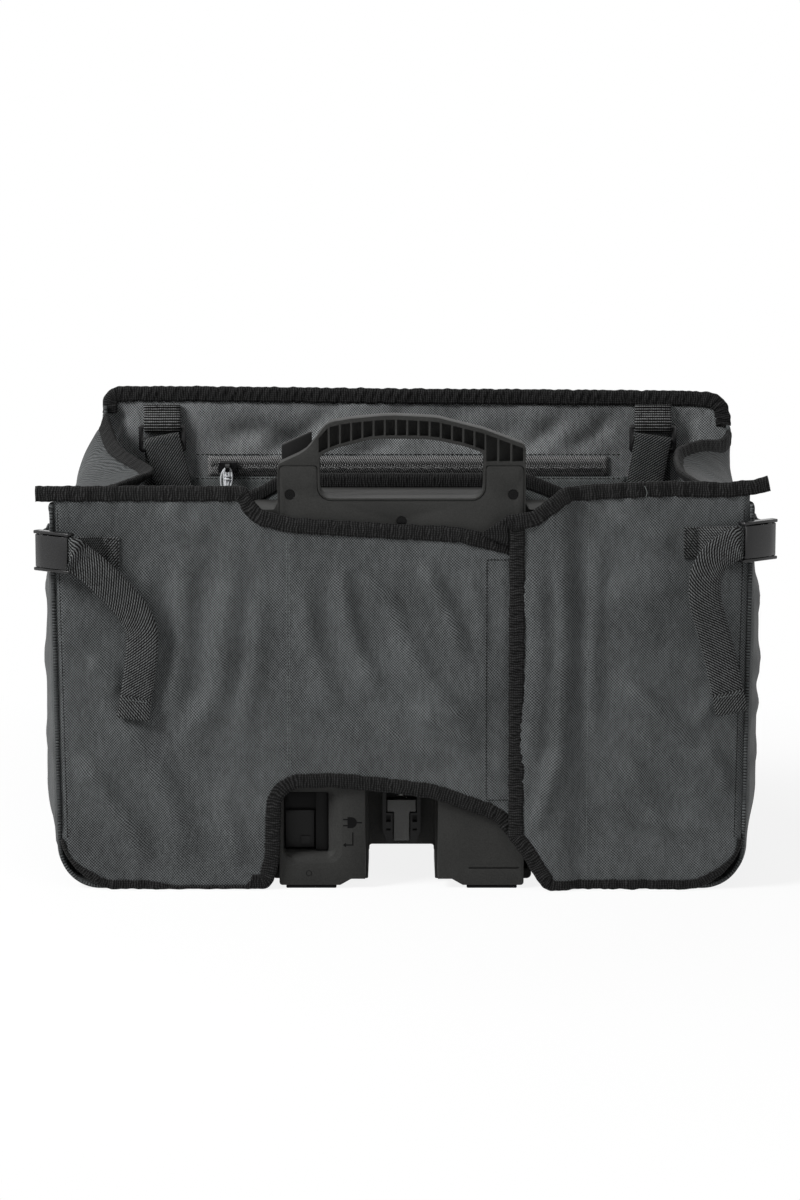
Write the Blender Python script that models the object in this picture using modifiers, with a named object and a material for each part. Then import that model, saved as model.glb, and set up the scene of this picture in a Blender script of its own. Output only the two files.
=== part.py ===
# Basket bag for the front carrier of an electric folding bicycle, with the
# bicycle's battery in its rear sleeve.
# Units are metres. X runs across the bag, Y from the bicycle side to the front, Z up.
# A place is given as X, depth behind the rear face, and Z; outlines are drawn in X and Z.
import math

import bmesh
import bpy
from mathutils import Matrix, Vector

MM = 0.001

# fits
GAP = 0.3 * MM                 # between pieces that touch
SLIP = 0.6 * MM                # between a moving piece and its guide

# bag
REAR_HALF_BASE = 216.5 * MM    # half width of the rear panel at its base
REAR_HALF_TOP = 219.5 * MM     # half width of the rear panel at its top
REAR_TOP = 260 * MM            # top edge of the rear panel's binding
FRONT_HALF_BASE = 224 * MM     # half width of the front wall at its base
FRONT_HALF_TOP = 213 * MM      # half width of the front wall at its top
FRONT_TOP = 305.5 * MM           # top edge of the front wall's binding
FRONT_LEAN = 10 * MM           # how far the front wall's top has shifted to the right
BAG_DEPTH = 205 * MM           # rear face to the middle of the front wall
FRONT_BOW = 5 * MM             # how far the front wall bulges
BASE_RADIUS = 25 * MM          # lower corners of the rear panel
FRONT_RADIUS = 30 * MM         # lower corners of the front wall
CLOTH = 2.4 * MM               # outer fabric with its lining
FLOOR_LIFT = 12 * MM           # height of the compartment's floor
FLOOR_SLOPE = 25 * MM          # width of the slope at the floor's sides
GUSSET_BULGE = 12 * MM         # how far a side swells between its seams
FOLD_DEPTH = {-1: 50 * MM, 1: 40 * MM}        # how far the left and right V folds go in at the top
FOLD_START = 150 * MM          # height at which the V fold begins
FOLD_DIP = {-1: 24 * MM, 1: 9 * MM}           # how much lower each fold's edge is than its ends
FOLD_GAP = 0.6 * MM            # looser fit of the folded edge's binding
FOLD_END = 12 * MM             # height below the edge over which the fold no longer changes
DIVIDER_DEPTH = 88.5 * MM      # middle of the wall between the sleeve and the compartment
DIVIDER_TOP = 259 * MM
BOARD_HALF = 160 * MM
BOARD_THICKNESS = 3 * MM

# bindings and seams
TAPE = 0.9 * MM                # binding tape
TAPE_WIDTH = 9 * MM            # how far the binding reaches over the cloth
TURN_SPARE = 3 * MM            # how much looser the tape lies at a sharp turn
TAPE_TIP = 11 * MM             # how far the top binding stands out past the panel's side
SEAM_RADIUS = 2.0 * MM
SEAM_TAPE = 1.5 * MM           # radius of the bound seam inside a rear corner

# access flap
FLAP_EDGE = 69 * MM            # its free edge
FLAP_HINGE = 115 * MM          # where it is sewn to the right rear panel
FLAP_BEND = 5 * MM             # stretch over which it rises off the panel
UNDERLAP = 95 * MM             # where the rear panel ends under the flap
FLAP_TAPE_END = 5.7 * MM       # from the hinge to the end of the flap's binding
RIGHT_TAPE_START = 6 * MM      # from the hinge to the start of the right panel's bindings

# outlines of the rear panels, as X, Z and corner radius in millimetres
ARCH = ((-130, None, 0), (-83.5, None, 9), (-79, 22, 40), (-77.5, 67.2, 14), (-40, 67.4, 100),
        (18, 61, 80), (60, 46.5, 30), (76.5, 25.5, 25), (91.5, None, 10), (130, None, 0))
TOP_CUT = ((-150, None, 0), (-98.5, None, 5), (-90, 244, 14), (-70, 238.8, 40), (0, 234.6, 100),
           (37, 232.8, 20), (58, 227.5, 40), (100, 218, 0))
FLAP_RISE = ((60, 240, 0), (82, 243, 8), (103, None, 14), (130, None, 0))

# zip and pocket inside the front wall
POCKET_LEFT = -146 * MM
POCKET_RIGHT = 156 * MM
POCKET_BASE = 118 * MM
POCKET_CLOTH = 1.6 * MM
ZIP_LEFT = -134 * MM
ZIP_RIGHT = 143 * MM
ZIP_HEIGHT = 251.8 * MM
ZIP_TAPE_WIDTH = 6.6 * MM
ZIP_TAPE = 1.0 * MM
ZIP_STOP = 3.0 * MM
COIL_RADIUS = 2.0 * MM
SLIDER_LENGTH = 13 * MM
SLIDER_START = -120 * MM       # middle of the slider at rest
CORD_RADIUS = 1.1 * MM
CORD_LOOP = (4.0 * MM, 17 * MM)

# inner straps and ladder locks
INNER_WEBBING = 25 * MM
WEBBING_THICKNESS = 1.4 * MM
ANCHOR_X = {"left": -165 * MM, "right": 173.5 * MM}
LOCK_HEIGHT = 279.7 * MM       # axis of the lock's upper bar
LOCK_WIDTH = 32.5 * MM
LOCK_THICKNESS = 3.0 * MM
LOCK_BAR = 2.6 * MM
LOCK_STAND = 4.6 * MM          # lock's middle from the wall's inner face

# rear side straps and their lever buckles
SIDE_WEBBING = 20 * MM
PATCH_END = 178 * MM           # inner end of the sewn part
BUCKLE_PLACE = {"left": (217.3 * MM, -7.9 * MM, 219.5 * MM), "right": (223.0 * MM, -3.2 * MM, 226 * MM)}
BUCKLE_TURN = {"left": 40, "right": 42}     # degrees from the rear face round the corner
BUCKLE_HALF = 15.6 * MM        # half length
RAIL_INNER = 10.6 * MM         # inner face of a rail from the middle
RAIL_OUTER = 12.8 * MM
RAIL_LOW = -1.2 * MM           # rails from their underside to their top
RAIL_HIGH = 4.6 * MM
LEVER_PIN = (13.2 * MM, 2.8 * MM)
LEVER_PIN_RADIUS = 0.9 * MM

# loose ends of the side straps, as X, depth and Z in millimetres
TAILS = {
    "left": ((-200, -19.6, 217.5), (-192, -18.8, 214), (-184, -16.8, 208.5), (-177, -14.2, 200),
             (-171, -11.5, 188),
             (-167, -9, 172), (-166, -6.5, 150), (-168, -4.5, 128), (-169.5, -3.4, 107)),
    "right": ((205, -16.4, 225), (197, -17, 222), (191.5, -17, 215), (190.5, -15.8, 204), (193, -13.8, 190),
              (198, -11, 174), (203, -8.2, 155), (207, -5.6, 134), (209, -4, 114)),
}

# battery
BATTERY_REAR = 4.2 * MM        # rear face of the battery behind the rear panel's face
HOUSING_SPLIT = 26 * MM        # where the rear and front housings meet
BATTERY_FRONT = 84 * MM
PLATE_HALF = 78.3 * MM         # half width of the rear housing
BODY_TOP = 250 * MM
SHOULDER_HALF = 106 * MM       # half width of the front housing
SHOULDER_TOP = 242 * MM
WAIST_HALF = 84 * MM           # half width of the front housing at its legs
WALL = 2.5 * MM
LEG_BASE = 2.2 * MM
SLOT_HALF = 23.3 * MM          # carrier slot in the rear housing
SLOT_HALF_DEEP = 21.6 * MM     # carrier slot in the front housing
SLOT_TOP = 112 * MM
SLOT_DEPTH = 37 * MM
TUNNEL_TOP = 22 * MM
HANDLE_TOP = 304.4 * MM
SILL = 251.6 * MM
CELL_PITCH = 7.05 * MM         # ribs of the grip
CELL_COUNT = 15
END_CELL_COUNT = 3
GRIP_RIB = 1.25 * MM
CELL_DEPTH = 6 * MM
CELL_FLOOR = 275 * MM          # lower end of the cells beside the window
COVER_THICKNESS = 2.0 * MM
COVER_BASE = 130 * MM
SCREW_RADIUS = 3.0 * MM
SCREWS = ((-70.5 * MM, 254 * MM), (70.5 * MM, 254 * MM), (0.0, 237 * MM))
PORT_LEFT = -75.6 * MM
PORT_LEDGE = -55.2 * MM
PORT_RIGHT = -46.8 * MM
PORT_BASE = 22.5 * MM
PORT_TOP = 62 * MM
PORT_DEPTH = 20 * MM
WELL_DEPTH = 9 * MM            # charging well's ledge behind the battery's rear face
WELL_CORNER = 1.3 * MM
PORT_COVER_HEIGHT = 24 * MM
SOCKET_HEIGHT = 34 * MM
LEG_GROOVE = (12.8 * MM, 13.9 * MM)
SOCKET_BORE = 6.0 * MM
LATCH_HALF = 12.3 * MM
LATCH_RAIL = 2.4 * MM
LATCH_BASE = 25.4 * MM
LATCH_TOP = 83 * MM
SHUTTER_HALF = 9.5 * MM
SHUTTER_STEM = 5.1 * MM
SHUTTER_BASE = 27.1 * MM
SHUTTER_TOP = 54.1 * MM
SHUTTER_BAR = 8 * MM
SPRING_RADIUS = 3.2 * MM
SPRING_WIRE = 0.45 * MM
SPRING_TURNS = 6
POWER_CELL_RADIUS = 9.1 * MM
POWER_CELL_LENGTH = 65 * MM
POWER_CELL_PITCH = 18.6 * MM
POWER_CELL_COLUMNS = 8
POWER_CELL_ROWS = 5
CELL_BLOCK_BASE = 133 * MM
FOOT_HEIGHT = 1.9 * MM
DISPLAY = (-77 * MM, -57.5 * MM, 282.3 * MM, 291 * MM)            # sides, then the heights of its slanted top
DISPLAY_DEPTH = 41 * MM

# worked out from the sizes above
WINDOW_HALF = CELL_COUNT * CELL_PITCH / 2 - 0.94 * GRIP_RIB      # the cells end above the window's sides
END_CELL_START = WINDOW_HALF + 1.28 * GRIP_RIB
END_CELL_PITCH = (PLATE_HALF - 0.32 * GRIP_RIB - END_CELL_START) / END_CELL_COUNT
HALF_CLOTH = CLOTH / 2
LIP = GAP + TAPE                            # how far a binding stands out past the cloth's edge
EDGE = LIP                                  # height of the rear panel's lower edge
TOP_EDGE = REAR_TOP - LIP                   # height of the rear panel's upper edge
TAPE_REACH = HALF_CLOTH + GAP + TAPE        # half thickness of a binding
GUSSET_START = TAPE_REACH + HALF_CLOTH + GAP     # behind the binding of the lower corners
GUSSET_REAR = GAP              # further up, where the gusset meets the panel's edge
GUSSET_END = BAG_DEPTH + HALF_CLOTH - 2 * SEAM_RADIUS - GAP
SEAM_OFFSET = LIP + GAP + HALF_CLOTH        # gusset's middle from the rear panel's edge
FRONT_OFFSET = SEAM_RADIUS + 1.3 * GAP      # front seam's middle from the front wall's edge
FRONT_EDGE = 2 * SEAM_RADIUS + GAP          # height of the front wall's lower edge
BUCKLE_REACH = 21.4 * MM                    # how far the side straps stand out behind the rear face
REAR_Y = -(BAG_DEPTH + FRONT_BOW + HALF_CLOTH - BUCKLE_REACH) / 2
WALL_FACE = HALF_CLOTH + GAP                # from the front wall's middle to what lies on its inner face

for old in list(bpy.data.objects):
    bpy.data.objects.remove(old)
scene = bpy.context.scene
parts = bpy.data.collections.new("basket_bag")
cutters = bpy.data.collections.new("cutters")
scene.collection.children.link(parts)
scene.collection.children.link(cutters)


def material(name, colour, roughness, metallic=0.0):
    found = bpy.data.materials.get(name)
    if found:
        return found
    made = bpy.data.materials.new(name)
    made.use_nodes = True
    shader = made.node_tree.nodes["Principled BSDF"]
    shader.inputs["Base Color"].default_value = (*colour, 1.0)
    shader.inputs["Roughness"].default_value = roughness
    shader.inputs["Metallic"].default_value = metallic
    made.diffuse_color = (*colour, 1.0)
    return made


FINISHES = {
    "fabric": ((0.075, 0.077, 0.077), 0.9, 0.0),
    "lining": ((0.060, 0.062, 0.062), 0.9, 0.0),
    "tape": ((0.012, 0.012, 0.012), 0.85, 0.0),
    "webbing": ((0.018, 0.018, 0.018), 0.8, 0.0),
    "buckle_plastic": ((0.010, 0.010, 0.010), 0.3, 0.0),
    "housing_plastic": ((0.042, 0.042, 0.041), 0.5, 0.0),
    "dark_plastic": ((0.020, 0.020, 0.020), 0.55, 0.0),
    "shutter_plastic": ((0.063, 0.063, 0.063), 0.5, 0.0),
    "pull_cord": ((0.30, 0.30, 0.31), 0.8, 0.0),
    "foot_rubber": ((0.020, 0.020, 0.020), 0.8, 0.0),
    "steel": ((0.35, 0.35, 0.35), 0.35, 1.0),
    "cell_wrap": ((0.05, 0.12, 0.25), 0.4, 0.0),
    "board_green": ((0.02, 0.10, 0.04), 0.5, 0.0),
}


def finish(obj, kind):
    made = material(f"{obj.name}_{kind}", *FINISHES[kind])
    obj.data.materials.clear()
    obj.data.materials.append(made)
    return obj


# places

def at(x, depth, z):
    return Vector((x, REAR_Y + depth, z))


def mix(a, b, share):
    return a + (b - a) * share


def smooth(value):
    held = min(1.0, max(0.0, value))
    return held * held * (3 - 2 * held)


def corner_x(half, radius, base, z):
    # half width at height z of a panel whose lower corners are rounded
    if z >= base + radius:
        return half
    drop = radius - (z - base)
    return half - radius + math.sqrt(max(0.0, radius * radius - drop * drop))


def rear_half(z):
    return mix(REAR_HALF_BASE, REAR_HALF_TOP, z / REAR_TOP)


def front_half(z, side):
    return mix(FRONT_HALF_BASE, FRONT_HALF_TOP, z / FRONT_TOP) + side * FRONT_LEAN * (z / FRONT_TOP) ** 2


def front_depth(x, z):
    across = max(0.0, 1 - (x / FRONT_HALF_BASE) ** 4)
    return BAG_DEPTH + FRONT_BOW * across * math.sin(math.pi * z / FRONT_TOP)


def fold_share(u):
    return 1 - abs(2 * u - 1)


def gusset_top(u, side):
    ends = mix(TOP_EDGE - TAPE_WIDTH - LIP - 2 * GAP, FRONT_TOP - LIP, u)
    return ends - FOLD_DIP[side] * fold_share(u)


def gusset_half(u, z, side):
    # half width of the bag's side at a share u of the depth
    straight = mix(rear_half(z) + SEAM_OFFSET, front_half(z, side) + FRONT_OFFSET, u)
    swell = GUSSET_BULGE * math.sin(math.pi * u) * smooth(z / (60 * MM))
    fading = smooth((z - FOLD_START) / (gusset_top(u, side) - FOLD_END - FOLD_START))
    fold = FOLD_DEPTH[side] * fold_share(u) * fading
    return straight + swell * (1 - fading) - fold


GUSSET_RADIUS = BASE_RADIUS + SEAM_OFFSET - HALF_CLOTH
GUSSET_FLOOR = HALF_CLOTH + GAP             # height of the gusset's middle under the bag


def gusset_side(u, z, side):
    return corner_x(gusset_half(u, max(z, GUSSET_FLOOR + GUSSET_RADIUS), side), GUSSET_RADIUS,
                    GUSSET_FLOOR, z)


def gusset_share(depth):
    return (depth - GUSSET_START) / (GUSSET_END - GUSSET_START)


def floor_half(u, side):
    # where the gusset ends under the bag and the base panel begins
    return gusset_half(u, GUSSET_FLOOR + GUSSET_RADIUS, side) - GUSSET_RADIUS - 4 * MM


# outlines

def fillet(corners, steps=5, closed=True):
    # points of an outline whose corners are rounded, each corner given as X, Z and radius
    points = []
    count = len(corners)
    for i, (x, z, radius) in enumerate(corners):
        here = Vector((x, z))
        if radius <= 0 or (not closed and i in (0, count - 1)):
            points.append(here)
            continue
        before = Vector(corners[i - 1][:2]) - here
        after = Vector(corners[(i + 1) % count][:2]) - here
        turn = before.angle(after)
        if turn > math.pi - 0.01:
            points.append(here)
            continue
        reach = min(radius / math.tan(turn / 2), 0.49 * before.length, 0.49 * after.length)
        radius = reach * math.tan(turn / 2)
        inward = (before.normalized() + after.normalized()).normalized()
        middle = here + inward * (radius / math.sin(turn / 2))
        start = here + before.normalized() * reach - middle
        end = here + after.normalized() * reach - middle
        sweep = start.angle_signed(end)
        count_here = max(1, round(steps * abs(sweep) / (math.pi / 2) + 0.5))
        for step in range(count_here + 1):
            angle = -sweep * step / count_here
            points.append(middle + Matrix.Rotation(angle, 2) @ start)
    return points


def edge_line(corners, level):
    # a rear panel edge from its list, whose open heights lie on the panel's straight edge
    scaled = [(x * MM, level if z is None else z * MM, radius * MM) for x, z, radius in corners]
    return fillet(scaled, 6, closed=False)


def height_on(line, x):
    for a, b in zip(line, line[1:]):
        if a.x <= x <= b.x and b.x > a.x:
            return mix(a.y, b.y, (x - a.x) / (b.x - a.x))
    return line[-1].y


NEAR = 0.05 * MM               # points closer than this along X count as one


def clip(line, low, high):
    inside = [p for p in line if low + NEAR < p.x < high - NEAR]
    return [Vector((low, height_on(line, low)))] + inside + [Vector((high, height_on(line, high)))]


def with_places(line, places):
    # the same line with points added at some X places
    free = [x for x in places if all(abs(point.x - x) > NEAR for point in line)]
    extra = [Vector((x, height_on(line, x))) for x in free]
    return sorted(line + extra, key=lambda point: point.x)


# modelling helpers

def add(name, mesh, collection=parts):
    obj = bpy.data.objects.new(name, mesh)
    collection.objects.link(obj)
    return obj


def from_bmesh(name, bm, collection=parts):
    mesh = bpy.data.meshes.new(name)
    bm.to_mesh(mesh)
    bm.free()
    return add(name, mesh, collection)


def as_cutter(obj):
    obj.hide_render = True
    obj.display_type = "WIRE"
    return obj


def round_edges(obj, width, segments=2, angle=35):
    bevel = obj.modifiers.new("rounded_edges", "BEVEL")
    bevel.width = width
    bevel.segments = segments
    bevel.limit_method = "ANGLE"
    bevel.angle_limit = math.radians(angle)
    bevel.harden_normals = False
    return obj


def shade(obj, angle=35):
    obj.data.shade_smooth()
    obj.data.set_sharp_from_angle(angle=math.radians(angle))
    return obj


def block(name, low, high, collection=parts):
    # a box between two corners, each given as X, depth and Z
    bm = bmesh.new()
    bmesh.ops.create_cube(bm, size=1.0)
    size = [high[i] - low[i] for i in range(3)]
    middle = [(high[i] + low[i]) / 2 for i in range(3)]
    bmesh.ops.scale(bm, vec=size, verts=bm.verts)
    bmesh.ops.translate(bm, vec=at(*middle), verts=bm.verts)
    return from_bmesh(name, bm, collection)


def plate(name, loops, near, far, collection=parts, frame=None):
    # a flat piece cut to outlines in X and Z between two depths, or to outlines in a frame's own plane
    curve = bpy.data.curves.new(name + "_outline", "CURVE")
    curve.dimensions = "2D"
    curve.fill_mode = "BOTH"
    curve.extrude = (far - near) / 2
    for loop in loops:
        spline = curve.splines.new("POLY")
        spline.points.add(len(loop) - 1)
        for point, place in zip(spline.points, loop):
            point.co = (place[0], place[1], 0, 1)
        spline.use_cyclic_u = True
    guide = add(name + "_outline", curve, cutters)
    middle = (near + far) / 2
    upright = Matrix.Translation(at(0, middle, 0)) @ Matrix.Rotation(math.pi / 2, 4, "X")
    guide.matrix_world = frame @ Matrix.Translation((0, 0, middle)) if frame else upright
    return solid_from(guide, name, collection)


def solid_from(guide, name, collection=parts):
    # the closed mesh of a curve, with its caps joined
    bpy.context.view_layer.update()
    seen = guide.evaluated_get(bpy.context.evaluated_depsgraph_get())
    mesh = bpy.data.meshes.new_from_object(seen)
    mesh.name = name
    mesh.transform(guide.matrix_world)
    bm = bmesh.new()
    bm.from_mesh(mesh)
    bmesh.ops.remove_doubles(bm, verts=bm.verts, dist=0.00002)
    bmesh.ops.recalc_face_normals(bm, faces=bm.faces)
    bm.to_mesh(mesh)
    bm.free()
    bpy.data.objects.remove(guide)
    mesh.materials.clear()
    return add(name, mesh, collection)


def rod(name, points, radius, resolution=2, closed=False, collection=parts):
    # a round bar, cord or wire along points
    curve = bpy.data.curves.new(name + "_line", "CURVE")
    curve.dimensions = "3D"
    curve.bevel_depth = radius
    curve.bevel_resolution = resolution
    curve.use_fill_caps = not closed
    spline = curve.splines.new("POLY")
    spline.points.add(len(points) - 1)
    for point, place in zip(spline.points, points):
        point.co = (*place, 1)
    spline.use_cyclic_u = closed
    return shade(solid_from(add(name + "_line", curve, cutters), name, collection), 50)


def drum(name, middle, axis, radius, length, sides=24, collection=parts):
    # a cylinder about an axis through its middle
    bm = bmesh.new()
    bmesh.ops.create_cone(bm, cap_ends=True, segments=sides, radius1=radius, radius2=radius, depth=length)
    turn = Vector((0, 0, 1)).rotation_difference(Vector(axis)).to_matrix().to_4x4()
    bmesh.ops.transform(bm, matrix=Matrix.Translation(middle) @ turn, verts=bm.verts)
    return shade(from_bmesh(name, bm, collection))


def cloth(name, rows, thickness=CLOTH):
    # cloth through rows of points
    bm = bmesh.new()
    grid = [[bm.verts.new(point) for point in row] for row in rows]
    for row, after in zip(grid, grid[1:]):
        for a, b, c, d in zip(row, row[1:], after[1:], after):
            bm.faces.new((a, b, c))
            bm.faces.new((a, c, d))
    return shade(thicken(from_bmesh(name, bm), thickness), 50)


def shell(name, surface, across, along, thickness=CLOTH):
    # cloth over a surface given by a function of two shares from 0 to 1
    return cloth(name, [[surface(i / across, k / along) for k in range(along + 1)]
                        for i in range(across + 1)], thickness)


def thicken(obj, thickness, even=True):
    solidify = obj.modifiers.new("thickness", "SOLIDIFY")
    solidify.thickness = thickness
    solidify.offset = 0
    solidify.use_even_offset = even
    return obj


def ribbon(name, stations, width, thickness=WEBBING_THICKNESS):
    # webbing through stations, each a place and the direction of its width
    bm = bmesh.new()
    rows = []
    for place, side in stations:
        half = Vector(side).normalized() * (width / 2)
        rows.append((bm.verts.new(place - half), bm.verts.new(place + half)))
    for (a, b), (c, d) in zip(rows, rows[1:]):
        bm.faces.new((a, b, d, c))
    obj = from_bmesh(name, bm)
    thicken(obj, thickness)
    return shade(obj, 50)


def mitred(directions):
    # one direction for each point from those of the stretches between them, lengthened at turns
    mid = [directions[0]] + [(a + b) / (1 + a.dot(b)) for a, b in zip(directions,
                                                                      directions[1:])] + [directions[-1]]
    return mid


def binding(name, line, inner, gap=GAP):
    # tape folded over an edge: line is the cloth's edge, inner the same points further into the cloth
    lay = HALF_CLOTH + gap + TAPE / 2
    out = gap + TAPE / 2
    normals, inwards = [], []
    for i in range(len(line) - 1):
        way = (line[i + 1] - line[i]).normalized()
        into = (inner[i] + inner[i + 1] - line[i] - line[i + 1]).normalized()
        normals.append(way.cross(into).normalized())
        inwards.append(normals[-1].cross(way))
    bm = bmesh.new()
    rows = []
    for i, (place, face) in enumerate(zip(line, mitred(normals))):
        into = (inner[i] - place).normalized()
        beside = inwards[max(0, i - 1):i + 1]
        inward = into * min(2.0, len(beside) / sum(into.dot(side) for side in beside))
        apart = face * (lay + (face.length - 1) * TURN_SPARE)
        top, edge = place + inward * TAPE_WIDTH, place - inward * out
        rows.append([bm.verts.new(spot) for spot in (top + apart, edge + apart, edge - apart, top - apart)])
    for row, after in zip(rows, rows[1:]):
        for i in range(3):
            bm.faces.new((row[i], row[i + 1], after[i + 1]))
            bm.faces.new((row[i], after[i + 1], after[i]))
    return shade(thicken(from_bmesh(name, bm), TAPE), 50)


def flat_binding(name, line, depth):
    # binding of an edge that lies in X and Z, with the cloth on the left of its direction
    inner = []
    for i, point in enumerate(line):
        way = line[min(i + 1, len(line) - 1)] - line[max(i - 1, 0)]
        side = Vector((-way.y, way.x)).normalized() * MM
        inner.append(at(point.x + side.x, depth(point.x + side.x), point.y + side.y))
    return binding(name, [at(point.x, depth(point.x), point.y) for point in line], inner)


def boolean(obj, tool, operation, name):
    change = obj.modifiers.new(name, "BOOLEAN")
    change.operation = operation
    change.solver = "EXACT"
    change.object = tool
    return obj


def cut(obj, *tools):
    for tool in tools:
        as_cutter(tool)
        boolean(obj, tool, "DIFFERENCE", "cut_" + tool.name)
    return obj


def settle(obj):
    # makes the modifiers so far part of the mesh
    bpy.context.view_layer.update()
    seen = obj.evaluated_get(bpy.context.evaluated_depsgraph_get())
    mesh = bpy.data.meshes.new_from_object(seen)
    bm = bmesh.new()
    bm.from_mesh(mesh)
    bmesh.ops.remove_doubles(bm, verts=bm.verts, dist=0.00001)
    bm.to_mesh(mesh)
    bm.free()
    obj.modifiers.clear()
    obj.data = mesh
    return obj


def merged(name, pieces, collection=parts):
    # one solid from several that overlap
    base = pieces[0]
    for piece in pieces[1:]:
        boolean(base, piece, "UNION", "with_" + piece.name)
    settle(base)
    for piece in pieces[1:]:
        bpy.data.objects.remove(piece)
    base.name = name
    for holder in list(base.users_collection):
        holder.objects.unlink(base)
    collection.objects.link(base)
    return base


def gathered(name, pieces, collection=parts):
    # separate solids in one object
    bm = bmesh.new()
    for piece in pieces:
        settle(piece)
        piece.data.transform(piece.matrix_world)
        bm.from_mesh(piece.data)
        bpy.data.objects.remove(piece)
    return shade(from_bmesh(name, bm, collection))


def pivot(obj, place):
    # puts the object's origin on its joint's axis
    settle(obj)
    obj.data.transform(Matrix.Translation(-place))
    obj.location = place
    return obj


# rear panels

def rear_face_depth(x):
    return HALF_CLOTH


def make_rear_panels():
    arch = edge_line(ARCH, EDGE)
    top_cut = edge_line(TOP_CUT, TOP_EDGE)
    corner = fillet(((-rear_half(TOP_EDGE), TOP_EDGE, 0), (-REAR_HALF_BASE, EDGE, BASE_RADIUS), (0, EDGE, 0)),
                    closed=False)
    lower = corner[:-1] + clip(arch, -120 * MM, UNDERLAP)[1:]
    upper = list(reversed(clip(top_cut, -140 * MM, UNDERLAP)))[:-1]
    rear = plate("rear_panel", [lower + upper], 0, CLOTH)
    finish(rear, "fabric")

    right_corner = fillet(((0, EDGE, 0), (REAR_HALF_BASE, EDGE, BASE_RADIUS),
                           (rear_half(TOP_EDGE), TOP_EDGE, 0)),
                          closed=False)[1:]
    start = FLAP_HINGE + GAP
    right_outline = [Vector((start, EDGE))] + right_corner + [Vector((start, TOP_EDGE))]
    finish(plate("rear_panel_right", [right_outline], 0, CLOTH), "fabric")

    tip = Vector((-rear_half(TOP_EDGE) - TAPE_TIP, TOP_EDGE))
    stop = [Vector((UNDERLAP - GAP, height_on(top_cut, UNDERLAP - GAP)))]
    top_line = list(reversed(clip(top_cut, -140 * MM, UNDERLAP - GAP))) + [tip]
    finish(flat_binding("rear_top_binding_left", stop + top_line[1:], rear_face_depth), "tape")
    right_tip = Vector((rear_half(TOP_EDGE) + TAPE_TIP, TOP_EDGE))
    start = FLAP_HINGE + RIGHT_TAPE_START
    finish(flat_binding("rear_top_binding_right", [right_tip, Vector((start, TOP_EDGE))], rear_face_depth),
           "tape")

    rise = BASE_RADIUS + MM
    side = [Vector((-rear_half(rise), rise))] + corner[1:-1]
    low_line = side + clip(arch, -120 * MM, UNDERLAP - GAP)[1:]
    finish(flat_binding("arch_binding", low_line, rear_face_depth), "tape")
    right_side = right_corner[:-1] + [Vector((rear_half(rise), rise))]
    finish(flat_binding("bottom_binding_right", [Vector((start, EDGE))] + right_side, rear_face_depth),
           "tape")
    return arch


def flap_depth(x):
    # the flap lies over the rear panel's bindings and comes back to the panel's level at its seam
    raised = HALF_CLOTH - 2 * TAPE_REACH - GAP
    return mix(HALF_CLOTH, raised, smooth((FLAP_HINGE - 2 * GAP - x) / FLAP_BEND))


def make_flap(arch):
    rise = edge_line(FLAP_RISE, TOP_EDGE)
    end = FLAP_HINGE - 2 * GAP

    bend = end - FLAP_BEND
    edge_places = sorted(point.x for line in (arch, rise)
                         for point in line if FLAP_EDGE + NEAR < point.x < bend - NEAR)
    flat_part = [FLAP_EDGE]
    for x in edge_places:
        if x > flat_part[-1] + NEAR:
            flat_part.append(x)
    bent_part = [mix(bend, end, i / 6) for i in range(7)]
    rows = []
    for x in flat_part + bent_part:
        low, high = height_on(arch, x), height_on(rise, x)
        rows.append([at(x, flap_depth(x), mix(low, high, i / 8)) for i in range(9)])
    flap = finish(cloth("battery_access_flap", rows), "fabric")
    tape_end = FLAP_HINGE - FLAP_TAPE_END
    arch, rise = (with_places(line, [x for x in bent_part if x < tape_end]) for line in (arch, rise))
    upper = list(reversed(clip(rise, FLAP_EDGE, tape_end)))
    upper[-1] = upper[-1] + Vector((-GAP, GAP))
    steps = 4
    low = height_on(arch, FLAP_EDGE)
    side = [Vector((FLAP_EDGE, mix(upper[-1].y, low, i / steps))) for i in range(1, steps)]
    line = upper + side + [p
                           for p in clip(arch, FLAP_EDGE,
                                         tape_end) if not NEAR < p.x - FLAP_EDGE < TAPE_WIDTH / 2]
    tape = finish(flat_binding("flap_binding", line, flap_depth), "tape")
    hinge = at(FLAP_HINGE, 0, REAR_TOP / 2)
    for piece in (flap, tape):
        pivot(piece, hinge)


# sides, front and floor

def gusset_place(along, up, side):
    # the side from its lip under the floor, round the lower corner and up to the edge
    lip = 0.07
    corner = 0.28
    low = GUSSET_FLOOR + GUSSET_RADIUS
    if up <= corner:
        turn = mix(0, math.pi / 2, max(0.0, (up - lip) / (corner - lip)))
        middle = gusset_half(along, low, side) - GUSSET_RADIUS
        x = floor_half(along, side) if up < lip / 2 else middle + GUSSET_RADIUS * math.sin(turn)
        return at(side * x, mix(GUSSET_START, GUSSET_END, along), low - GUSSET_RADIUS * math.cos(turn))
    z = mix(low, gusset_top(along, side), (up - corner) / (1 - corner))
    start = mix(GUSSET_START, GUSSET_REAR, smooth((z - low) / (BASE_RADIUS * 0.6)))
    return at(side * gusset_half(along, z, side), mix(start, GUSSET_END, along), z)


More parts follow.
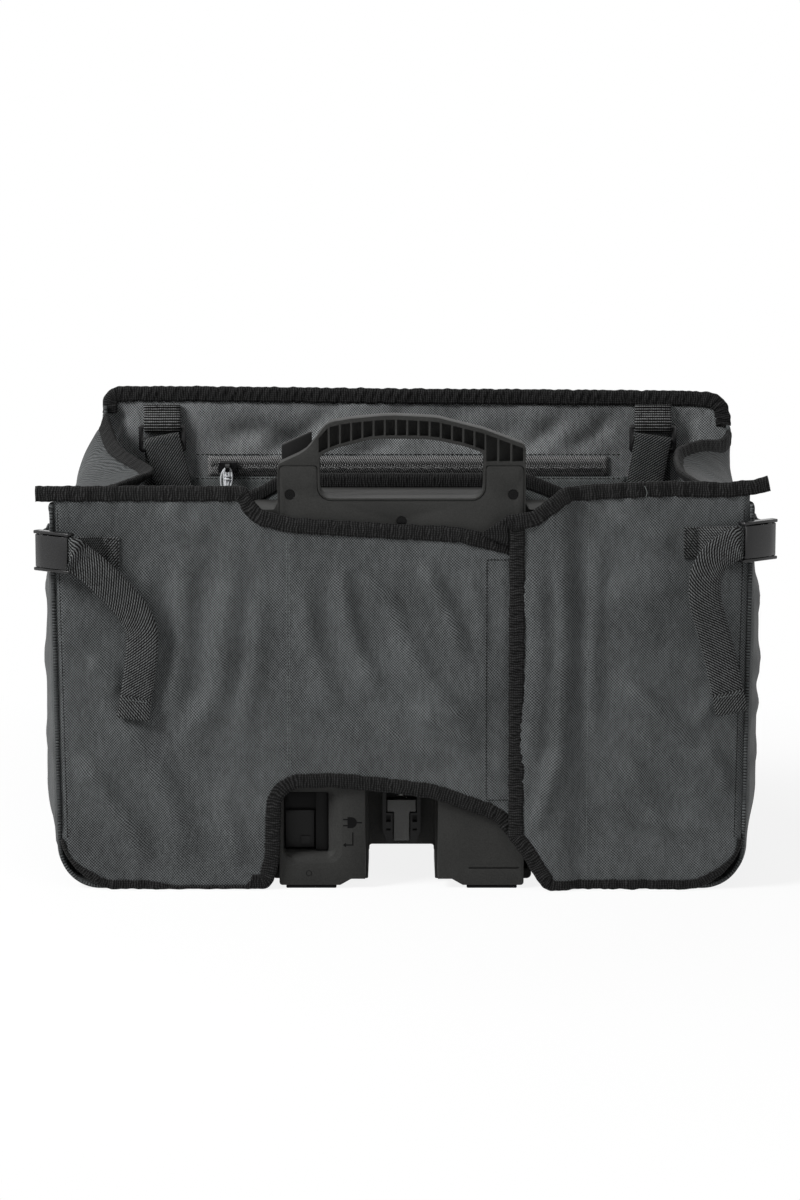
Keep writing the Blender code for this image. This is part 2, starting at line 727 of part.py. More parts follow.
def make_sides():
    columns = 10
    levels = [0, 0.07] + [mix(0.07, 0.28, i / 4) for i in range(1, 5)] + [mix(0.28, 1, i / 11)
                                                                          for i in range(1, 11)]
    for side_name, side in (("left", -1), ("right", 1)):
        top_share = 1 - FOLD_END / (260 * MM)
        heights = [level for level in levels if level < top_share - 0.02] + [top_share, 1.0]
        grid = [[gusset_place(i / columns, level, side) for level in heights] for i in range(columns + 1)]
        finish(cloth(f"side_gusset_{side_name}", grid), "fabric")

        low = BASE_RADIUS + 20 * MM + 2 * GAP
        high = FOLD_START + 30 * MM
        places = [at(side * (rear_half(z) - SEAM_TAPE - GAP), CLOTH + GAP + SEAM_TAPE, z)
                  for z in (mix(low, high, i / 4) for i in range(5))]
        finish(rod(f"rear_seam_{side_name}", places, SEAM_TAPE, 1), "tape")

        shares = [0.03] + [i / columns for i in range(1, columns)] + [0.965]
        line = [gusset_place(share, 1.0, side) for share in shares]
        inner = [gusset_place(share, top_share, side) for share in shares]
        finish(binding(f"gusset_binding_{side_name}", line, inner, FOLD_GAP), "tape")


def make_front_and_floor():
    def front(across, up):
        corner = 0.3
        share = 2 * across - 1
        side = -1 if share < 0 else 1
        if up <= corner:
            turn = mix(0, math.pi / 2, up / corner)
            z = FRONT_EDGE + FRONT_RADIUS * (1 - math.cos(turn))
            half = front_half(FRONT_EDGE + FRONT_RADIUS, side) - FRONT_RADIUS * (1 - math.sin(turn))
        else:
            z = mix(FRONT_EDGE + FRONT_RADIUS, FRONT_TOP - LIP, (up - corner) / (1 - corner))
            half = front_half(z, side)
        x = share * half
        return at(x, front_depth(x, z), z)

    finish(shell("front_wall", front, 14, 12), "fabric")
    line = [front(i / 14, 1.0) for i in range(15)]
    inner = [front(i / 14, 11 / 12) for i in range(15)]
    finish(binding("front_top_binding", line, inner), "tape")

    seam_depth = BAG_DEPTH + HALF_CLOTH - SEAM_RADIUS
    outline = []
    for side in (-1, 1):
        top = FRONT_TOP - LIP - TAPE_WIDTH - 3 * GAP
        half = front_half(FRONT_EDGE + FRONT_RADIUS, side)
        straight = [(side * (front_half(z, side) + FRONT_OFFSET), z)
                    for z in (top, mix(FRONT_EDGE + FRONT_RADIUS, top, 0.5))]
        turn = [(side * (half - FRONT_RADIUS + (FRONT_RADIUS + FRONT_OFFSET) * math.cos(a)),
                 FRONT_EDGE + FRONT_RADIUS - (FRONT_RADIUS + FRONT_OFFSET) * math.sin(a))
                for a in [math.radians(d) for d in (0, 18, 36, 54, 72, 90)]]
        outline += (straight + turn) if side < 0 else list(reversed(straight + turn))
    finish(rod("front_seam", [at(x, seam_depth, z) for x, z in outline], SEAM_RADIUS, 1), "tape")

    rows = []
    for along in [i / 6 for i in range(7)]:
        depth = mix(GUSSET_START, GUSSET_END, along)
        row = []
        for side in (-1, 1):
            half = floor_half(along, side) - GAP
            offsets = [0, 4 * MM] + [mix(4 * MM, FLOOR_SLOPE, i / 4) for i in range(1, 5)]
            xs = [half - offset for offset in offsets] + [(half - FLOOR_SLOPE) * share
                                                          for share in (0.75, 0.5, 0.25)]
            steps = [at(side * x, depth, GUSSET_FLOOR + (FLOOR_LIFT - GUSSET_FLOOR)
                        * smooth((half - x - 4 * MM) / (FLOOR_SLOPE - 4 * MM))) for x in xs]
            row += steps + [at(0, depth, FLOOR_LIFT)] if side < 0 else list(reversed(steps))
        rows.append(row)
    base = finish(cloth("base_panel", rows), "fabric")
    notch = SHOULDER_HALF + 1.5 * MM
    cut(base, block("sleeve_notch", (-notch, -5 * MM, -MM), (notch, DIVIDER_DEPTH - HALF_CLOTH - GAP,
                                                             40 * MM), cutters))

    board_top = FLOOR_LIFT + HALF_CLOTH + GAP
    board = block("base_board", (-BOARD_HALF, DIVIDER_DEPTH + HALF_CLOTH + 2 * MM, board_top),
                  (BOARD_HALF, GUSSET_END - 3 * MM, board_top + BOARD_THICKNESS))
    finish(round_edges(board, MM), "dark_plastic")

    divider_base = FLOOR_LIFT + HALF_CLOTH + GAP
    divider_edge = DIVIDER_TOP - LIP

    def divider(across, up):
        z = mix(divider_base, divider_edge, up)
        share = 2 * across - 1
        side = -1 if share < 0 else 1
        spare = CLOTH + 1.6 * MM + 5 * MM * smooth((z - 215 * MM) / (15 * MM))
        half = gusset_side(gusset_share(DIVIDER_DEPTH), z, side) - spare
        return at(share * half, DIVIDER_DEPTH, z)

    finish(shell("divider_wall", divider, 10, 10), "lining")
    ends = [divider(0.0, 1.0) + Vector((2 * MM, 0, 0)), divider(1.0, 1.0) - Vector((2 * MM, 0, 0))]
    line = [ends[0].lerp(ends[1], i / 4) for i in range(5)]
    finish(binding("divider_binding", line, [point - Vector((0, 0, MM)) for point in line]), "tape")


# pocket, zip and inner straps

def on_front(x, z, stand):
    # a place inside the front wall, at a distance from the wall's middle
    return at(x, front_depth(x, z) - stand, z)


def make_pocket():
    cloth_stand = WALL_FACE + GAP / 2 + POCKET_CLOTH / 2
    lower_top = ZIP_HEIGHT - GAP
    pocket_top = lower_top - ZIP_TAPE_WIDTH - GAP

    def pocket(across, up):
        return on_front(mix(POCKET_LEFT, POCKET_RIGHT, across), mix(POCKET_BASE, pocket_top, up), cloth_stand)

    finish(shell("pocket_panel", pocket, 10, 5, POCKET_CLOTH), "lining")

    # the two tapes are one strip with a slit, closed by a stop at each end
    heights = (lower_top - ZIP_TAPE_WIDTH, lower_top, ZIP_HEIGHT + GAP, ZIP_HEIGHT + GAP + ZIP_TAPE_WIDTH)
    places = [ZIP_LEFT] + [mix(ZIP_LEFT + ZIP_STOP, ZIP_RIGHT - ZIP_STOP, i / 10)
                           for i in range(11)] + [ZIP_RIGHT]
    bm = bmesh.new()
    grid = [[bm.verts.new(on_front(x, z, cloth_stand)) for z in heights] for x in places]
    for i in range(len(places) - 1):
        for k in range(3):
            if k != 1 or i in (0, len(places) - 2):
                bm.faces.new((grid[i][k], grid[i + 1][k], grid[i + 1][k + 1], grid[i][k + 1]))
    finish(shade(thicken(from_bmesh("zip_tapes", bm), ZIP_TAPE)), "tape")

    end_depth = min(front_depth(ZIP_LEFT, ZIP_HEIGHT), front_depth(ZIP_RIGHT, ZIP_HEIGHT))
    coil_depth = end_depth - cloth_stand - ZIP_TAPE / 2 - GAP - COIL_RADIUS
    ends = [at(x, coil_depth, ZIP_HEIGHT) for x in (ZIP_LEFT + 4 * MM, ZIP_RIGHT - 4 * MM)]
    finish(rod("zip_coil", [ends[0].lerp(ends[1], i / 3) for i in range(4)], COIL_RADIUS, 1), "tape")

    reach = COIL_RADIUS + SLIP
    wall = 1.4 * MM
    half = SLIDER_LENGTH / 2
    back = coil_depth + COIL_RADIUS
    front = coil_depth - reach - wall
    body = block("slider_body", (SLIDER_START - half, front, ZIP_HEIGHT - reach - wall),
                 (SLIDER_START + half, back, ZIP_HEIGHT + reach + wall))
    round_edges(body, 0.8 * MM)
    settle(body)
    eye_depth = front - 2.6 * MM
    eye = drum("slider_eye", at(SLIDER_START, eye_depth + 1.0 * MM, ZIP_HEIGHT), (1, 0, 0), 3.6 * MM,
               3 * MM, 16)
    slider = merged("zip_slider", [body, eye])
    groove = block("slider_groove", (SLIDER_START - half - MM, coil_depth - reach, ZIP_HEIGHT - reach),
                   (SLIDER_START + half + MM, back + MM, ZIP_HEIGHT + reach), cutters)
    pull_hole = CORD_RADIUS + SLIP
    cord_depth = eye_depth - 0.2 * MM
    hole = drum("slider_hole", at(SLIDER_START, cord_depth, ZIP_HEIGHT), (1, 0, 0), pull_hole, 6 * MM, 16,
                cutters)
    cut(slider, groove, hole)
    finish(slider, "buckle_plastic")

    wide, tall = CORD_LOOP
    turns = [math.radians(a) for a in range(0, 181, 30)]
    low = ZIP_HEIGHT - tall + wide
    high = ZIP_HEIGHT - wide * 0.5
    loop = [(wide * math.cos(a), low - wide * math.sin(a)) for a in turns]
    loop += [(-wide, high), (-wide * 0.8, ZIP_HEIGHT - 0.3 * MM), (-wide * 0.5, ZIP_HEIGHT),
             (wide * 0.5, ZIP_HEIGHT), (wide * 0.8, ZIP_HEIGHT - 0.3 * MM), (wide, high)]
    places = [at(SLIDER_START + x, cord_depth, z) for x, z in loop]
    cord = finish(rod("zip_pull_cord", places, CORD_RADIUS, 1, closed=True), "pull_cord")
    pivot(cord, at(SLIDER_START, cord_depth, ZIP_HEIGHT))


def make_inner_straps():
    for side_name in ("left", "right"):
        middle = ANCHOR_X[side_name]
        across = Vector((1, 0, 0))
        half = LOCK_WIDTH / 2
        wall = front_depth(middle, LOCK_HEIGHT) - HALF_CLOTH
        stand = LOCK_STAND
        near = stand - 3.0 * MM
        far = stand + 3.0 * MM

        def place(step_back, z, middle=middle):
            return at(middle, front_depth(middle, z) - HALF_CLOTH - step_back, z)

        top = FRONT_TOP - LIP - TAPE_WIDTH - 2 * GAP
        bar = LOCK_HEIGHT
        anchor_path = [(near, top), (near, bar + 4 * MM), (near, bar), (near + 1.0 * MM, bar - 2.6 * MM),
                       (stand, bar - 3.6 * MM), (far - 1.0 * MM, bar - 2.6 * MM), (far, bar),
                       (far - 0.6 * MM, bar + 5 * MM), (near + 2.3 * MM, bar + 10 * MM), (near + 2.1 * MM,
                                                                                          top)]
        stations = [(place(*step), across) for step in anchor_path]
        finish(ribbon(f"top_anchor_{side_name}", stations, INNER_WEBBING), "webbing")

        low = bar - LOCK_BAR / 2 - 16.5 * MM
        outline = fillet(((middle - half, bar + LOCK_BAR / 2, 2 * MM),
                          (middle + half, bar + LOCK_BAR / 2, 2 * MM),
                          (middle + half, low, 3 * MM), (middle - half, low, 3 * MM)), 3)
        slot_half = INNER_WEBBING / 2 + SLIP
        slots = []
        for slot_top, slot_low in ((bar - LOCK_BAR / 2, bar - LOCK_BAR / 2 - 6.6 * MM),
                                   (bar - LOCK_BAR / 2 - 9.2 * MM, bar - LOCK_BAR / 2 - 13.6 * MM)):
            slots.append([Vector((middle - slot_half, slot_low)), Vector((middle - slot_half, slot_top)),
                          Vector((middle + slot_half, slot_top)), Vector((middle + slot_half, slot_low))])
        lock_depth = wall - stand
        lock = plate(f"ladder_lock_{side_name}", [outline] + slots, lock_depth - LOCK_THICKNESS / 2,
                     lock_depth + LOCK_THICKNESS / 2)
        finish(lock, "buckle_plastic")
        pivot(lock, at(middle, lock_depth, bar))

        mid_bar = bar - LOCK_BAR / 2 - 7.9 * MM
        strap_path = [(near, mid_bar - 24 * MM), (near, mid_bar - 4 * MM),
                      (stand - 2.9 * MM, mid_bar + 0.9 * MM),
                      (stand - 2.1 * MM, mid_bar + 2.4 * MM), (stand - 0.9 * MM, mid_bar + 2.9 * MM),
                      (stand + 0.9 * MM, mid_bar + 2.9 * MM), (stand + 2.1 * MM, mid_bar + 2.4 * MM),
                      (stand + 2.9 * MM, mid_bar + 0.9 * MM), (far, mid_bar - 5 * MM), (far,
                                                                                        mid_bar - 14 * MM),
                      (far, mid_bar - 30 * MM), (stand, mid_bar - 60 * MM), (near + MM, mid_bar - 95 * MM),
                      (near, mid_bar - 125 * MM)]
        stations = [(place(*step), across) for step in strap_path]
        finish(ribbon(f"inner_strap_{side_name}", stations, INNER_WEBBING), "webbing")


# side straps and buckles

def make_side_strap(side_name, side):
    x, depth, height = BUCKLE_PLACE[side_name]
    turn = math.radians(BUCKLE_TURN[side_name])
    centre = at(side * x, depth, height)
    along = Vector((side * math.cos(turn), math.sin(turn), 0))
    outward = Vector((side * math.sin(turn), -math.cos(turn), 0))
    up = Vector((0, 0, 1))
    faced = Matrix.Translation(centre) @ Matrix((along, up, along.cross(up))).transposed().to_4x4()
    edged = Matrix.Translation(centre) @ Matrix((along, outward, along.cross(outward))).transposed().to_4x4()
    thick = faced.col[2].to_3d().dot(outward)

    def place(a, c):
        return centre + along * a + outward * c

    def bar(name, a_low, a_high, b_low, b_high, c_low, c_high, collection=parts):
        # a bar of the buckle, by its ends along it, across it and outward
        loop = [Vector((a_low, b_low)), Vector((a_high, b_low)), Vector((a_high, b_high)),
                Vector((a_low, b_high))]
        near, far = sorted((thick * c_low, thick * c_high))
        return plate(name, [loop], near, far, collection, faced)

    # frame: two rails joined by the bar that the loose strap turns round and the one that
    # holds the sewn strap
    rails = []
    for way in (-1, 1):
        low, high = sorted((way * RAIL_INNER, way * RAIL_OUTER))
        rail = bar(f"rail_{side_name}_{way}", -BUCKLE_HALF, BUCKLE_HALF, low, high, RAIL_LOW, RAIL_HIGH)
        rails.append(settle(round_edges(rail, 0.7 * MM)))
    reach = RAIL_INNER + MM
    turn_bar = (0, 3.0 * MM, -0.6 * MM, 1.2 * MM)
    hold_bar = (8.4 * MM, 10.8 * MM, -1.0 * MM, 0.4 * MM)
    bars = [bar(f"{name}_{side_name}", a_low, a_high, -reach, reach, c_low, c_high)
            for name, (a_low, a_high, c_low, c_high) in (("turn_bar", turn_bar), ("hold_bar", hold_bar))]
    buckle = merged(f"side_buckle_{side_name}", rails + bars)
    pin_a, pin_c = LEVER_PIN
    bore = drum(f"pin_bore_{side_name}", place(pin_a, pin_c), up, LEVER_PIN_RADIUS + GAP,
                2 * RAIL_OUTER + 4 * MM, 12, cutters)
    cut(buckle, bore)
    finish(shade(settle(buckle)), "buckle_plastic")

    # lever: a domed lid between the rails, with its pin at the outer end
    crown = ((-14.6, 3.3), (-14.3, 4.3), (-13, 4.8), (-8, 5.4), (-1, 5.7), (7, 5.3), (12, 4.6))
    knuckle = [(pin_a + 1.6 * MM * math.cos(a), pin_c + 1.6 * MM * math.sin(a))
               for a in [math.radians(d) for d in (75, 40, 0, -40, -80, -120)]]
    underside = ((11.3, 2.9), (10.4, 3.3))
    outline = [(a * MM, c * MM) for a, c in crown] + knuckle + [(a * MM, c * MM) for a, c in underside]
    lid_half = RAIL_INNER - 0.4 * MM
    lid = plate("lever_lid", [outline], -lid_half, lid_half, frame=edged)
    pin = drum("lever_pin", place(pin_a, pin_c), up, LEVER_PIN_RADIUS, 2 * RAIL_OUTER - MM, 12)
    lever = merged(f"buckle_lever_{side_name}", [lid, pin])
    finish(shade(lever), "buckle_plastic")
    pivot(lever, place(pin_a, pin_c))

    # strap: sewn to the rear panel, under the turn bar, round it and away as a loose tail
    sewn = -WEBBING_THICKNESS / 2 - GAP
    patch = [(at(side * PATCH_END, sewn, height - 2 * MM), up),
             (at(side * (PATCH_END + 9 * MM), sewn, height - 2 * MM), up)]
    entry = place(-BUCKLE_HALF - 2 * MM, -1.9 * MM)
    foot = at(side * (PATCH_END + 13 * MM), sewn - 1.6 * MM, height - 1.6 * MM)
    stations = patch + [(foot, up), (entry, up), (place(-BUCKLE_HALF + 4 * MM, -1.65 * MM), up),
                        (place(1.5 * MM, -1.65 * MM), up), (place(3.4 * MM, -1.5 * MM), up),
                        (place(4.3 * MM, -0.6 * MM), up), (place(4.3 * MM, 1.2 * MM), up),
                        (place(3.4 * MM, 2.1 * MM), up), (place(1.5 * MM, 2.25 * MM), up),
                        (place(-BUCKLE_HALF + 1.5 * MM, 2.25 * MM),
                         up), (place(-BUCKLE_HALF - 3 * MM, 2.5 * MM), up)]
    tail = [at(x * MM, depth * MM, z * MM) for x, depth, z in TAILS[side_name]]
    for i, point in enumerate(tail):
        way = tail[min(i + 1, len(tail) - 1)] - (tail[i - 1] if i else point)
        stations.append((point, Vector((side * way.z, 0, -side * way.x))))
    finish(ribbon(f"side_strap_{side_name}", stations, SIDE_WEBBING), "webbing")

    # front strap: turned round the hold bar and sewn along the gusset
    def on_side(depth, stand):
        def spot(depth, z):
            share = (depth - GUSSET_REAR) / (GUSSET_END - GUSSET_REAR)
            return at(side * gusset_half(share, z, side), depth, z)
        here = spot(depth, height)
        upward = (spot(depth, height + MM) - spot(depth, height - MM)).normalized()
        forward = (spot(depth + MM, height) - spot(depth - MM, height)).normalized()
        out = forward.cross(upward) * side
        return here + out * (HALF_CLOTH + stand), upward

    stand = WEBBING_THICKNESS / 2 + 2 * GAP
    stations = [(place(9.8 * MM, 1.45 * MM), up), (place(8.4 * MM, 1.45 * MM), up),
                (place(7.2 * MM, 0.6 * MM), up),
                (place(7.2 * MM, -1.0 * MM), up), (place(8.4 * MM, -2.05 * MM),
                                                   up), (place(12 * MM, -2.1 * MM), up),
                (place(BUCKLE_HALF + 3 * MM, -2.6 * MM), up)]
    stations += [on_side(depth * MM, stand + extra * MM) for depth,
                 extra in ((24, 2.8), (32, 1.8), (39, 1.9), (46, 2.1), (53, 2.4))]
    finish(ribbon(f"side_strap_front_{side_name}", stations, SIDE_WEBBING), "webbing")


# battery

def handle_top():
    return ((-PLATE_HALF, 273 * MM, 4 * MM), (-60 * MM, 281.5 * MM, 20 * MM), (-47 * MM, 299.5 * MM, 12 * MM),
            (-22 * MM, HANDLE_TOP - 0.9 * MM, 150 * MM), (8 * MM, HANDLE_TOP, 150 * MM),
            (38 * MM, 300.4 * MM, 200 * MM), (PLATE_HALF, 285.3 * MM, 4 * MM))


def window_outline():
    return ((-WINDOW_HALF, SILL, 7 * MM), (WINDOW_HALF, SILL, 7 * MM), (WINDOW_HALF, 280.5 * MM, 5 * MM),
            (32 * MM, 287 * MM, 80 * MM), (0, 291 * MM, 120 * MM), (-32 * MM, 287.3 * MM, 80 * MM),
            (-WINDOW_HALF, 279 * MM, 5 * MM))


def cover_outline(margin):
    # the rear cover's outline, widened by a margin all round for its seat
    half = PLATE_HALF - 1.3 * MM + margin
    tower = WINDOW_HALF + 1.7 * MM - margin
    dip = SILL - 1.7 * MM + margin
    top = 272 * MM + margin
    base = COVER_BASE - margin
    return fillet(((-half, base, 4 * MM), (half, base, 4 * MM), (half, top, 3 * MM), (tower, top, 2 * MM),
                   (tower, dip, 9 * MM), (-tower, dip, 9 * MM), (-tower, top, 2 * MM), (-half, top,
                                                                                        3 * MM)), 4)


def make_grip_cells(top_line, window_line):
    # pockets between the ribs of the grip, cut to the handle's own curves
    near = BATTERY_REAR - 2 * MM
    far = BATTERY_REAR + CELL_DEPTH
    rim = 2.0 * MM
    spans = []
    first = -CELL_PITCH * CELL_COUNT / 2 + GRIP_RIB / 2
    for i in range(CELL_COUNT):
        left = first + i * CELL_PITCH
        spans.append((left, left + CELL_PITCH - GRIP_RIB, None))
    for i in range(END_CELL_COUNT):
        left = END_CELL_START + i * END_CELL_PITCH
        spans.append((left, left + END_CELL_PITCH - GRIP_RIB, CELL_FLOOR))
    tools = []
    for left, right, floor in spans:
        low_left = floor or height_on(window_line, max(left, -WINDOW_HALF + MM)) + rim
        low_right = floor or height_on(window_line, min(right, WINDOW_HALF - MM)) + rim
        high_left = height_on(top_line, left) - 2.6 * MM
        high_right = height_on(top_line, right) - 2.6 * MM
        loop = [(left, low_left), (right, low_right), (right, high_right), (left, high_left)]
        tools.append(plate("grip_cell", [loop], near, far, cutters))
    return gathered("grip_cells", tools, cutters)


def tapered_cutter(name, sections):
    # a cutter through outlines of equal length at growing depths
    bm = bmesh.new()
    rings = []
    for loop, depth in sections:
        rings.append([bm.verts.new(at(x, depth, z)) for x, z in loop])
    count = len(rings[0])
    for ring, after in zip(rings, rings[1:]):
        for i in range(count):
            bm.faces.new((ring[i], ring[(i + 1) % count], after[(i + 1) % count], after[i]))
    bm.faces.new(list(reversed(rings[0])))
    bm.faces.new(rings[-1])
    bmesh.ops.recalc_face_normals(bm, faces=bm.faces)
    return from_bmesh(name, bm, cutters)


def rounded_box(left, low, right, high, radius, steps=3):
    return [tuple(p) for p in fillet(((left, low, radius), (right, low, radius), (right, high, radius),
                                      (left, high, radius)), steps)]


def make_rear_housing():
    top_line = fillet(handle_top(), 6, closed=False)
    window = fillet(window_outline(), 4)
    window_top = sorted((p for p in window if p.y > 270 * MM), key=lambda p: p.x)
    chamfer = 7 * MM
    step = SLOT_HALF + 9 * MM
    legs = [(PLATE_HALF, LEG_BASE, 2 * MM), (step + chamfer, LEG_BASE, 0), (step, LEG_BASE + 4 * MM, 0),
            (SLOT_HALF, LEG_BASE + 4 * MM, 0), (SLOT_HALF, SLOT_TOP, 3 * MM), (-SLOT_HALF, SLOT_TOP, 3 * MM),
            (-SLOT_HALF, LEG_BASE + 4 * MM, 0), (-step, LEG_BASE + 4 * MM, 0), (-step - chamfer, LEG_BASE, 0),
            (-PLATE_HALF, LEG_BASE, 2 * MM)]
    outline = fillet(handle_top() + tuple(legs), 5)
    housing = plate("battery_rear_housing", [outline], BATTERY_REAR, HOUSING_SPLIT)
    opening = plate("handle_window", [window], BATTERY_REAR - MM, HOUSING_SPLIT + MM, cutters)
    cut(housing, opening)
    settle(housing)

    inner = PLATE_HALF - WALL
    hollow_depth = BATTERY_REAR + COVER_THICKNESS + WALL
    slot_wall = SLOT_HALF + WALL
    main_base = SLOT_TOP + WALL
    hollows = [
        block("main_hollow", (-inner, hollow_depth, main_base), (inner, HOUSING_SPLIT + MM, SILL - WALL),
              cutters),
        block("left_leg_hollow", (-inner, hollow_depth, PORT_TOP + 2 * WALL),
              (-slot_wall, HOUSING_SPLIT + MM, main_base + MM), cutters),
        block("right_leg_hollow", (slot_wall, hollow_depth, 20 * MM),
              (inner, HOUSING_SPLIT + MM, main_base + MM), cutters)]
    seat = plate("cover_seat", [cover_outline(0.4 * MM)], BATTERY_REAR - MM,
                 BATTERY_REAR + COVER_THICKNESS + GAP, cutters)
    cells = make_grip_cells(top_line, window_top)
    cut(housing, *hollows, seat, cells)

    # charging recess: a dished lip round a straight opening, which the charging well closes
    dish_wide = rounded_box(PORT_LEFT - 0.6 * MM, PORT_BASE - 6 * MM, PORT_RIGHT + 9 * MM,
                            PORT_TOP + 6 * MM, 9 * MM)
    dish_mid = rounded_box(PORT_LEFT - 0.3 * MM, PORT_BASE - 3 * MM, PORT_RIGHT + 5 * MM,
                           PORT_TOP + 3 * MM, 7 * MM)
    dish_low = rounded_box(PORT_LEFT, PORT_BASE, PORT_RIGHT, PORT_TOP, WELL_CORNER)
    dish = tapered_cutter("port_dish", [(dish_wide, BATTERY_REAR - MM), (dish_wide, BATTERY_REAR + 0.4 * MM),
                                        (dish_mid, BATTERY_REAR + 1.4 * MM), (dish_low,
                                                                              BATTERY_REAR + 5 * MM),
                                        (dish_low, HOUSING_SPLIT + MM)])
    groove_low, groove_high = LEG_GROOVE
    groove = block("leg_groove", (step + chamfer + 3.7 * MM, BATTERY_REAR - MM, groove_low),
                   (PLATE_HALF - 2.9 * MM, BATTERY_REAR + 1.2 * MM, groove_high), cutters)
    cut(housing, dish, groove)
    finish(shade(settle(housing)), "housing_plastic")

    cover = plate("battery_rear_cover", [cover_outline(0)], BATTERY_REAR, BATTERY_REAR + COVER_THICKNESS)
    holes = [drum(f"screw_hole_{i}", at(x, BATTERY_REAR, z), (0, 1, 0), SCREW_RADIUS + GAP, 8 * MM, 20,
                  cutters)
             for i, (x, z) in enumerate(SCREWS)]
    cut(cover, *holes)
    finish(cover, "housing_plastic")

    for place, (x, z) in zip(("left", "right", "middle"), SCREWS):
        head = drum(f"cover_screw_{place}", at(x, BATTERY_REAR + 1.1 * MM, z), (0, 1, 0), SCREW_RADIUS,
                    1.6 * MM, 20)
        drive = drum(f"screw_drive_{place}", at(x, BATTERY_REAR, z), (0, 1, 0), 1.2 * MM, 2.0 * MM, 6,
                     cutters)
        cut(head, drive)
        finish(head, "dark_plastic")


def make_front_housing():
    raised = PLATE_HALF - MM
    low = FOOT_HEIGHT - 0.4 * MM
    outer = ((-WAIST_HALF, low, 3 * MM), (-SLOT_HALF_DEEP, low, MM), (-SLOT_HALF_DEEP, TUNNEL_TOP, 3 * MM),
             (SLOT_HALF_DEEP, TUNNEL_TOP, 3 * MM), (SLOT_HALF_DEEP, low, MM), (WAIST_HALF, low, 3 * MM),
             (WAIST_HALF, 100 * MM, 25 * MM), (SHOULDER_HALF, 128 * MM, 25 * MM), (SHOULDER_HALF,
                                                                                   SHOULDER_TOP, 12 * MM),
             (raised + 4 * MM, SHOULDER_TOP, 2 * MM), (raised, BODY_TOP, 3 * MM), (-raised, BODY_TOP, 3 * MM),
             (-raised - 4 * MM, SHOULDER_TOP, 2 * MM), (-SHOULDER_HALF, SHOULDER_TOP, 12 * MM),
             (-SHOULDER_HALF, 128 * MM, 25 * MM), (-WAIST_HALF, 100 * MM, 25 * MM))
    housing = plate("battery_front_housing", [fillet(outer, 4)], HOUSING_SPLIT + GAP, BATTERY_FRONT)
    round_edges(housing, 1.5 * MM, 2, 50)
    settle(housing)
    inner = WAIST_HALF - WALL
    wide = SHOULDER_HALF - WALL
    top = SHOULDER_TOP - WALL
    slot_wall = SLOT_HALF_DEEP + WALL
    back = BATTERY_FRONT - WALL
    start = HOUSING_SPLIT - MM
    slot_back = SLOT_DEPTH + WALL
    main = plate("front_hollow", [fillet(((-wide, 130 * MM, 22 * MM), (wide, 130 * MM, 22 * MM),
                                          (wide, top, 9 * MM),
                                          (-wide, top, 9 * MM)), 4)], start, back, cutters)
    low_hollow = block("front_low_hollow", (-inner, start, SLOT_TOP + WALL), (inner, back, 160 * MM), cutters)
    legs = [block(f"front_leg_hollow_{name}", sorted_low, sorted_high, cutters) for name, sorted_low,
            sorted_high in (
        ("left", (-inner, start, 8 * MM), (-slot_wall, back, SLOT_TOP + WALL + MM)),
        ("right", (slot_wall, start, 8 * MM), (inner, back, SLOT_TOP + WALL + MM)))]
    behind = block("front_behind_slot", (-slot_wall - MM, slot_back, TUNNEL_TOP + WALL),
                   (slot_wall + MM, back, SLOT_TOP + WALL + MM), cutters)
    slot = block("slot_pocket", (-SLOT_HALF_DEEP, start, TUNNEL_TOP - MM),
                 (SLOT_HALF_DEEP, SLOT_DEPTH, SLOT_TOP), cutters)
    cut(housing, main, low_hollow, *legs, behind, slot)
    finish(shade(settle(housing)), "housing_plastic")


